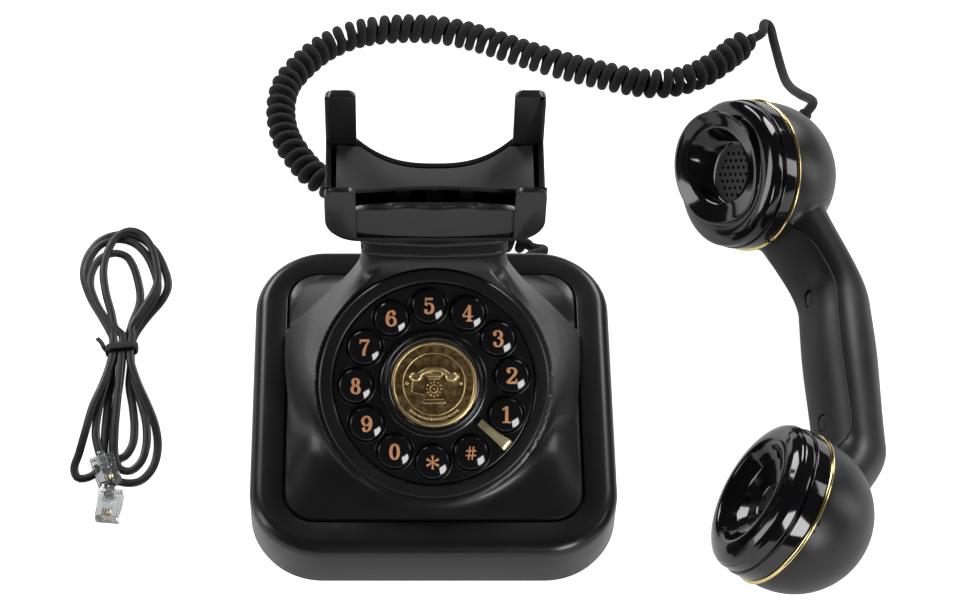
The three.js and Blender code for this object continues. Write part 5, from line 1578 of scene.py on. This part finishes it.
# %% Braid
def braided(name):
    """Cotton braid: two families of slanted yarns, crossing over and under each other, with painted shade in
    the gaps between them.
    """
    material, shader = new_finish(name, (0.012, 0.012, 0.012), 0.8, level=0.3)
    shader.inputs["Sheen Weight"].default_value = 0.12
    shader.inputs["Sheen Roughness"].default_value = 0.5
    tree = material.node_tree
    where = tree.nodes.new("ShaderNodeUVMap")
    where.uv_map = "lead"
    heights = []
    for slant in (1, -1):
        placed = tree.nodes.new("ShaderNodeMapping")
        placed.inputs["Scale"].default_value = (8.0 * slant, 0.62, 1)
        tree.links.new(where.outputs["UV"], placed.inputs["Vector"])
        apart = tree.nodes.new("ShaderNodeSeparateXYZ")
        tree.links.new(placed.outputs["Vector"], apart.inputs[0])
        total = tree.nodes.new("ShaderNodeMath")
        total.operation = "ADD"
        tree.links.new(apart.outputs["X"], total.inputs[0])
        tree.links.new(apart.outputs["Y"], total.inputs[1])
        wave = tree.nodes.new("ShaderNodeMath")
        wave.operation = "PINGPONG"
        wave.inputs[1].default_value = 0.5
        tree.links.new(total.outputs[0], wave.inputs[0])
        heights.append(wave.outputs[0])
    over = tree.nodes.new("ShaderNodeMath")
    over.operation = "MAXIMUM"
    tree.links.new(heights[0], over.inputs[0])
    tree.links.new(heights[1], over.inputs[1])
    fuzz = noise(material, 2600, 4.0)
    mixed = tree.nodes.new("ShaderNodeMath")
    mixed.operation = "MULTIPLY_ADD"
    mixed.inputs[1].default_value = 0.35
    tree.links.new(fuzz.outputs["Fac"], mixed.inputs[0])
    tree.links.new(over.outputs[0], mixed.inputs[2])
    # Painted shade between the yarns: the lower the braid's height, the darker the cotton; the noise adds a
    # random tone of its own.
    tone = ramp(material, mixed.outputs[0], [(0.25, (0.004, 0.004, 0.004)), (0.75, (0.022, 0.022, 0.021))])
    tree.links.new(tone.outputs["Color"], shader.inputs["Base Color"])
    bump(material, shader, mixed.outputs[0], 0.9, 0.0002)
    return material


BRAID = braided("black_cotton_braid")

# %% Curly cord
COIL_ROUTE = [
    (42.6, 88.1), (31, 94.5), (19, 100), (5, 105.5), (-12, 110.5), (-32, 116), (-48.3, 125), (-57.6, 137),
    (-62.6, 147), (-64.9, 157), (-65.1, 167), (-62.9, 177.3), (-57.3, 186.5), (-48.6, 196.4),
    (-39.7, 202.6), (-30.8, 206.5), (-17.5, 208.9), (-3.9, 209.2), (9.5, 207.4), (22.8, 203.2),
    (40.5, 195.4), (58.1, 188.3), (75.6, 182.5), (93.1, 178), (101.9, 177.4), (110.9, 178.9), (120, 183),
    (129.3, 190), (138.8, 198.9), (146, 204),
]
COIL_HEIGHT, WIRE, WINDING, TURN_PITCH, STEPS_PER_TURN = 6.7, 2.1, 4.5, 5.2, 24
axis_line = smooth_line([(x, y, COIL_HEIGHT) for x, y in COIL_ROUTE], 0.5)
run = np.concatenate([[0], np.cumsum(np.linalg.norm(np.diff(axis_line, axis=0), axis=1))])
turns = round(run[-1] / TURN_PITCH)
t = np.linspace(0, 1, turns * STEPS_PER_TURN + 1)
spots = np.column_stack([np.interp(t * run[-1], run, axis_line[:, i]) for i in range(3)])
way = np.gradient(spots, axis=0)
way /= np.linalg.norm(way, axis=1)[:, None]
side = np.cross(way, (0.0, 0.0, 1.0))
angle = 2 * math.pi * turns * t - math.pi / 2
grow = eased(np.minimum(t, 1 - t) * turns / 1.6)[:, None] * WINDING
helix = spots + grow * (np.cos(angle)[:, None] * side + np.sin(angle)[:, None] * np.array((0, 0, 1.0)))
helix = helix + grow / WINDING * way * (0.35 * np.sin(t * turns * 1.7) * np.sin(t * turns * 0.37))[:, None]

aim = HANDSET.to_3x3() @ GROMMET_AIM
mouth_ball = HANDSET @ Vector((0, BULB_Y, 0))
handset_lead = [
    mouth_ball + aim * (BULB + 7.3), mouth_ball + aim * (BULB + 13), (160.4, 158, 23), (158.8, 170, 12.5),
    (157.7, 180, 5.8), (156.8, 190, 2.7), (155.7, 199, 2.4), (154.7, 207, 2.4), (154.1, 212.4, 2.5),
    (152.9, 215, 3), (151.2, 214.6, 4), (150.3, 211.8, 5.2), (149.9, 208.8, 6.1), (148.5, 206.1, 6.5),
    (146.5, 204.5, COIL_HEIGHT),
]
base_lead = [
    (40, 77.3, 11.5), (40.8, 79.6, 11.2), (44, 82.2, 10), (47.4, 84.6, 8.4), (47.6, 86.6, 7.2),
    (45.6, 87.1, 6.8), (43.3, 87.8, COIL_HEIGHT),
]
lead_line = np.vstack([
    smooth_line(base_lead, 1.0), helix, smooth_line(handset_lead[::-1], 1.0),
])
keep = np.concatenate([[True], np.linalg.norm(np.diff(lead_line, axis=0), axis=1) > 0.25])
lead_line = lead_line[keep]
round_section = [(WIRE * math.cos(a), WIRE * math.sin(a)) for a in np.arange(12) / 12 * 2 * math.pi]
curly, curly_length = swept("curly_handset_cord", lead_line, round_section, BRAID)
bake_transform(curly)
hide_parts("curly_cord", "cord_lead_base", "cord_lead_handset")
print(
    "curly cord", round(curly_length), "mm of lead in", turns, "turns;", len(curly.data.polygons), "faces"
)

# %% [markdown]
# The line cord is flat and smooth, put up in a bow and held by a twist tie. It goes up one leg of the bow,
# over, down the other leg, and round below. Each strand has its own slot under the tie, three beside each
# other and three on top of each other, so that no two run through one another.

# %% Line cord
sheath, sheath_shader = new_finish("line_cord_sheath", (0.012, 0.012, 0.012), 0.4, level=0.5)
cloud = ramp(sheath, noise(sheath, 160, 3.0).outputs["Fac"], [(0.3, 0.34), (0.7, 0.5)])
sheath.node_tree.links.new(cloud.outputs["Color"], sheath_shader.inputs["Roughness"])
bump(sheath, sheath_shader, noise(sheath, 1500, 2.0).outputs["Fac"], 0.5, 0.00002)

FLAT_WIDTH, FLAT_THICK = 3.4, 1.8
LOW, MIDDLE, HIGH = 1.05, 2.95, 4.85
WAIST = (-128.2, 38.0)
TOP_LOOP = [
    (-5.4, 10), (-9.6, 18), (-15, 28), (-18.6, 40), (-17.2, 50), (-12, 58), (-4, 61),
    (4, 59), (10.5, 53), (15, 44), (17.4, 34), (15.4, 27), (9.6, 18), (5.2, 10),
]


def top_loop(left, right, tall, lean, level, end_level):
    """A loop over the waist: its two sides and its height as shares of the widest loop."""
    made = []
    for index, (x, y) in enumerate(TOP_LOOP):
        t = index / (len(TOP_LOOP) - 1)
        wide = left if x < 0 else right
        height = level + (end_level - level) * eased(t)
        made.append((WAIST[0] + x * wide + lean * math.sin(math.pi * t), WAIST[1] + y * tall, height))
    return made


def under_tie(x, level, up=True):
    """A strand's place under the tie, as three points along its way."""
    rows = (-6, 0, 6) if up else (6, 0, -6)
    return [(WAIST[0] + x * (1 + 0.02 * abs(row)), WAIST[1] + row, level) for row in rows]


strands = [
    # from the first plug up the left side
    (-131.2 - 0.342 * 4, -21.2 + 0.94 * 4, 3.2), (-134.5, -12.0, 3.0), (-136.6, -3, 2.95),
    (-136.2, 8, 2.95), (-134.2, 20, 2.95),
    *under_tie(-3.5, MIDDLE), *top_loop(0.88, 0.82, 0.93, -1.5, MIDDLE, MIDDLE),
    *under_tie(3.5, MIDDLE, False),
    # down the right side, round below and up the middle
    (-122.3, 22, MIDDLE), (-118.6, 11, MIDDLE), (-116.2, 1, MIDDLE), (-115.8, -9, MIDDLE),
    (-117.6, -16.5, MIDDLE), (-121.6, -20.6, MIDDLE), (-125.8, -19.6, MIDDLE), (-128.2, -13.5, 3.4),
    (-128.8, -3, 4.2), (-128.6, 10, 4.7), (-128.3, 22, HIGH),
    *under_tie(0, HIGH), *top_loop(0.62, 0.66, 0.985, 2.5, HIGH, HIGH), *under_tie(3.5, HIGH, False),
    # the widest loop below
    (-121.2, 22, 4.7), (-116.4, 11, 4.0), (-112.6, 1, 2.6), (-111.2, -9, 1.3), (-113, -18.5, LOW),
    (-117.8, -24.3, LOW), (-123.8, -25.0, LOW), (-129.8, -22.0, LOW), (-132.6, -14, LOW), (-133.0, -3, LOW),
    (-132.8, 10, LOW), (-132.2, 22, LOW),
    *under_tie(-3.5, LOW), *top_loop(1.0, 1.0, 1.0, 0, LOW, LOW), *under_tie(3.5, LOW, False),
    # across to the far left
    (-124.4, 22, LOW), (-122.4, 11, LOW), (-121.2, 1, LOW), (-121.6, -7, LOW), (-124.2, -12.4, LOW),
    (-128.0, -14.6, 1.2), (-133, -17.6, 1.0), (-138.0, -22.2, 1.0), (-142.6, -22.8, 1.05),
    (-144.4, -18.6, 1.3), (-142.8, -12, 2.4), (-140.6, -2, 4.2), (-138.4, 9, HIGH), (-134.6, 21, HIGH),
    *under_tie(-3.5, HIGH), *top_loop(0.72, 0.45, 0.80, -2.5, HIGH, 2.95), *under_tie(0, LOW + 0.05, False),
    # down the middle to the second plug
    (-128.6, 22, LOW), (-129.4, 10, LOW), (-129.6, -2, LOW), (-129.4, -10, 1.2), (-128.6, -18, 1.8),
    (-128.9, -26, 2.8), (-129.6, -33.4, 3.2),
]
flat_line = smooth_line(strands, 1.6)
flat_section = [
    (
        FLAT_WIDTH / 2 * np.sign(math.cos(a)) * abs(math.cos(a)) ** 0.7,
        FLAT_THICK / 2 * np.sign(math.sin(a)) * abs(math.sin(a)) ** 0.8
    )
    for a in np.arange(14) / 14 * 2 * math.pi
]
line_piece, line_length = swept("flat_line_cord", flat_line, flat_section, sheath, flat=True)
hand_over(line_piece, "base", "line_cord_sheath", "line_hank")
print("line cord", round(line_length), "mm")

# %% Twist tie
tie_low, tie_high = 0.1, 7.1
tie_outer = rounded_square(6.75, (tie_high - tie_low) / 2, 2.6, 10)
tie_inner = rounded_square(5.95, (tie_high - tie_low) / 2 - 0.8, 2.0, 10)
tie_bands = []
tie_middle = (tie_low + tie_high) / 2
for outline, depth in (
    (tie_inner, -1.3), (tie_outer * 0.985, -1.4), (tie_outer, -1.0), (tie_outer, 1.0),
    (tie_outer * 0.985, 1.4), (tie_inner, 1.3),
):
    tie_bands.append([(WAIST[0] + x, WAIST[1] + depth + 0.12 * x, tie_middle + z) for x, z in outline])
tie = to_object("cord_twist_tie", bands_mesh("cord_twist_tie", tie_bands, loop=True), DULL, 50)
hand_over(tie, "base", "dull_black_plastic", "cord_tie")
TIE_TAIL = [
    (-134.6, 37.4, 3.4), (-135.6, 38.4, 4.4), (-136.4, 40.2, 4.2), (-137.4, 42.2, 3.2), (-138.8, 44.2, 2.4)
]
tail_line = smooth_line(TIE_TAIL, 0.4)
tail_section = [(0.95 * math.cos(a), 0.45 * math.sin(a)) for a in np.arange(10) / 10 * 2 * math.pi]
tail, _ = swept("cord_twist_tie_tail", tail_line, tail_section, DULL, flat=True)
hand_over(tail, "base", "dull_black_plastic")

# %% [markdown]
# A modular plug is a clear block with a latch that springs up over it, a crimp window, and flat gold contacts
# that stand in slots at its nose. Clear plastic shows all of this, so its inside is made as well.

# %% Modular plugs
WIRE_PLACES = (-1.53, -0.51, 0.51, 1.53)


def modular_plug(name, matrix):
    """The clear body and its contacts, as two pieces."""
    w, h, nose, rear = 4.82, 6.5, -6.2, 6.2
    body = carve(
        block(name, -w, w, nose, rear, 0.05, h, matrix),
        block("entry", -1.9, 1.9, rear - 5.6, rear + 1, 1.7, 4.7, matrix),
        block("crimp", -2.6, 2.6, 0.4, 2.6, 4.9, h + 1, matrix),
        block("step", -w - 1, -w + 0.7, nose - 1, nose + 7.4, h - 1.3, h + 1, matrix),
        block("step", w - 0.7, w + 1, nose - 1, nose + 7.4, h - 1.3, h + 1, matrix),
        *[
            block("slot", x - 0.28, x + 0.28, nose - 0.5, nose + 3.4, 4.0, h + 1, matrix)
            for x in WIRE_PLACES
        ],
    )
    latch_bands = []
    for y, z, half in (
        (nose + 0.2, h - 0.1, 1.9), (nose + 1.6, h + 0.35, 1.9), (0.0, h + 0.75, 1.75),
        (rear - 1.0, h + 0.98, 1.6), (rear + 1.2, h + 1.02, 1.5),
    ):
        latch_bands.append([(-half, y, z), (half, y, z), (half, y, z - 0.75), (-half, y, z - 0.75)])
    body_piece = bevelled(to_object(name + "_body", body, CLEAR), 0.22, 2, 40)
    latch_mesh = bands_mesh(name + "_latch", latch_bands, matrix=matrix)
    latch = bevelled(to_object(name + "_latch", latch_mesh, CLEAR), 0.15, 2, 40)
    blades = [
        block(name + "_contacts", x - 0.18, x + 0.18, nose + 0.3, nose + 3.2, 3.2, h - 0.35, matrix)
        for x in WIRE_PLACES
    ]
    contacts = carve(*blades, mode="UNION")
    return body_piece, latch, to_object(name + "_contacts", contacts, CONTACT)


PLUG_A = Matrix.Translation((-131.2, -21.2, 0.4)) @ Matrix.Rotation(math.radians(20), 4, "Z")
PLUG_B = Matrix.Translation((-129, -37.4, 0.4)) @ Matrix.Rotation(math.radians(-6), 4, "Z")
plug_pieces = []
for letter, matrix in (("a", PLUG_A), ("b", PLUG_B)):
    made = modular_plug("modular_plug_" + letter, matrix)
    for index, piece in enumerate(made):
        stands_for = ["line_plug_" + letter] if index == 0 else []
        hand_over(piece, "base", "clear_plastic" if index < 2 else "polished_gold", *stands_for)
    plug_pieces += made
print("plugs", [p.name for p in plug_pieces])

# %% [markdown]
# What is left of the engineering model is inside the housing or behind it: boards, weights, springs. Those
# shapes are right as they are, so each only gets a finish of its own.

# %% Finishes for the inner parts
BOARD = moulded("circuit_board_green", (0.012, 0.075, 0.035), 0.3, 0.45, 900, 0.00001)
INNER = {
    "ballast_plate": STEEL, "ringer": CHAMPAGNE, "hook_spring": STEEL, "receiver": STEEL,
    "microphone": STEEL,
    "handset_screw_ear": STEEL, "handset_screw_mouth": STEEL, "main_board": BOARD, "keypad_board": BOARD,
    "keypad_mat": RUBBER, "hook_switch": DULL, "line_jack": DULL,
}
for node_name, finish in INNER.items():
    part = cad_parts[node_name]
    if not part.material_slots:
        part.data.materials.append(finish)
    for material_slot in part.material_slots:
        material_slot.material = finish
print("finished", len(INNER), "inner parts")

# %% [markdown]
# The table is plain white and the room is dim above it, so the black mouldings stay black. Large soft boxes
# draw the long highlights along the shoulders and the neck, and a small one at the front right puts a bright
# patch on each key. The floor glows to the eye but hardly in reflections, so it looks white and stays out of
# the black mouldings.

# %% Table and light
floor_mesh = bpy.data.meshes.new("table_top")
floor_mesh.from_pydata([(-6, -6, 0), (6, -6, 0), (6, 6, 0), (-6, 6, 0)], [], [(0, 1, 2, 3)])
table_finish, table_shader = new_finish("white_table", (0.9, 0.9, 0.9), 0.85, level=0.1)
tint = ramp(table_finish, noise(table_finish, 3.0).outputs["Fac"], [(0.3, 0.90), (0.7, 0.92)])
table_finish.node_tree.links.new(tint.outputs["Color"], table_shader.inputs["Base Color"])
table_shader.inputs["Emission Color"].default_value = (1, 1, 1, 1)
seen = table_finish.node_tree.nodes.new("ShaderNodeLightPath")
glow = table_finish.node_tree.nodes.new("ShaderNodeMath")
glow.operation = "MULTIPLY_ADD"
GLOW_IN_REFLECTIONS, GLOW_TO_THE_EYE = 0.3, 0.95
glow.inputs[1].default_value = GLOW_TO_THE_EYE - GLOW_IN_REFLECTIONS
glow.inputs[2].default_value = GLOW_IN_REFLECTIONS
table_finish.node_tree.links.new(seen.outputs["Is Camera Ray"], glow.inputs[0])
table_finish.node_tree.links.new(glow.outputs[0], table_shader.inputs["Emission Strength"])
table_top = bpy.data.objects.new("table_top", floor_mesh)
bpy.context.scene.collection.objects.link(table_top)
floor_mesh.materials.append(table_finish)

room = bpy.data.worlds.new("dim_room")
room.use_nodes = True
room.node_tree.nodes["Background"].inputs["Color"].default_value = (1, 1, 1, 1)
room.node_tree.nodes["Background"].inputs["Strength"].default_value = 0.04
bpy.context.scene.world = room


def soft_box(name, where, aim_at, width, height, power):
    """A rectangular lamp that looks at a point; places in millimetres from the base centre."""
    lamp = bpy.data.lights.new(name, "AREA")
    lamp.shape = "RECTANGLE"
    lamp.size, lamp.size_y = width, height
    lamp.energy = power
    made = bpy.data.objects.new(name, lamp)
    made.location = place(*where)
    made.rotation_euler = (place(*aim_at) - place(*where)).to_track_quat("-Z", "Y").to_euler()
    bpy.context.scene.collection.objects.link(made)
    return made


soft_box("back_left_box", (-900, 1350, 1000), (0, 20, 60), 0.7, 0.9, 16)
soft_box("back_right_box", (980, 1350, 1000), (20, 20, 60), 0.7, 0.9, 16)
soft_box("left_box", (-1700, -100, 500), (0, 20, 40), 0.5, 1.2, 8)
soft_box("right_box", (1800, 0, 600), (60, 20, 40), 0.5, 1.2, 8)
soft_box("window_box", (560, -950, 500), (0, -17, 60), 0.40, 0.46, 6)
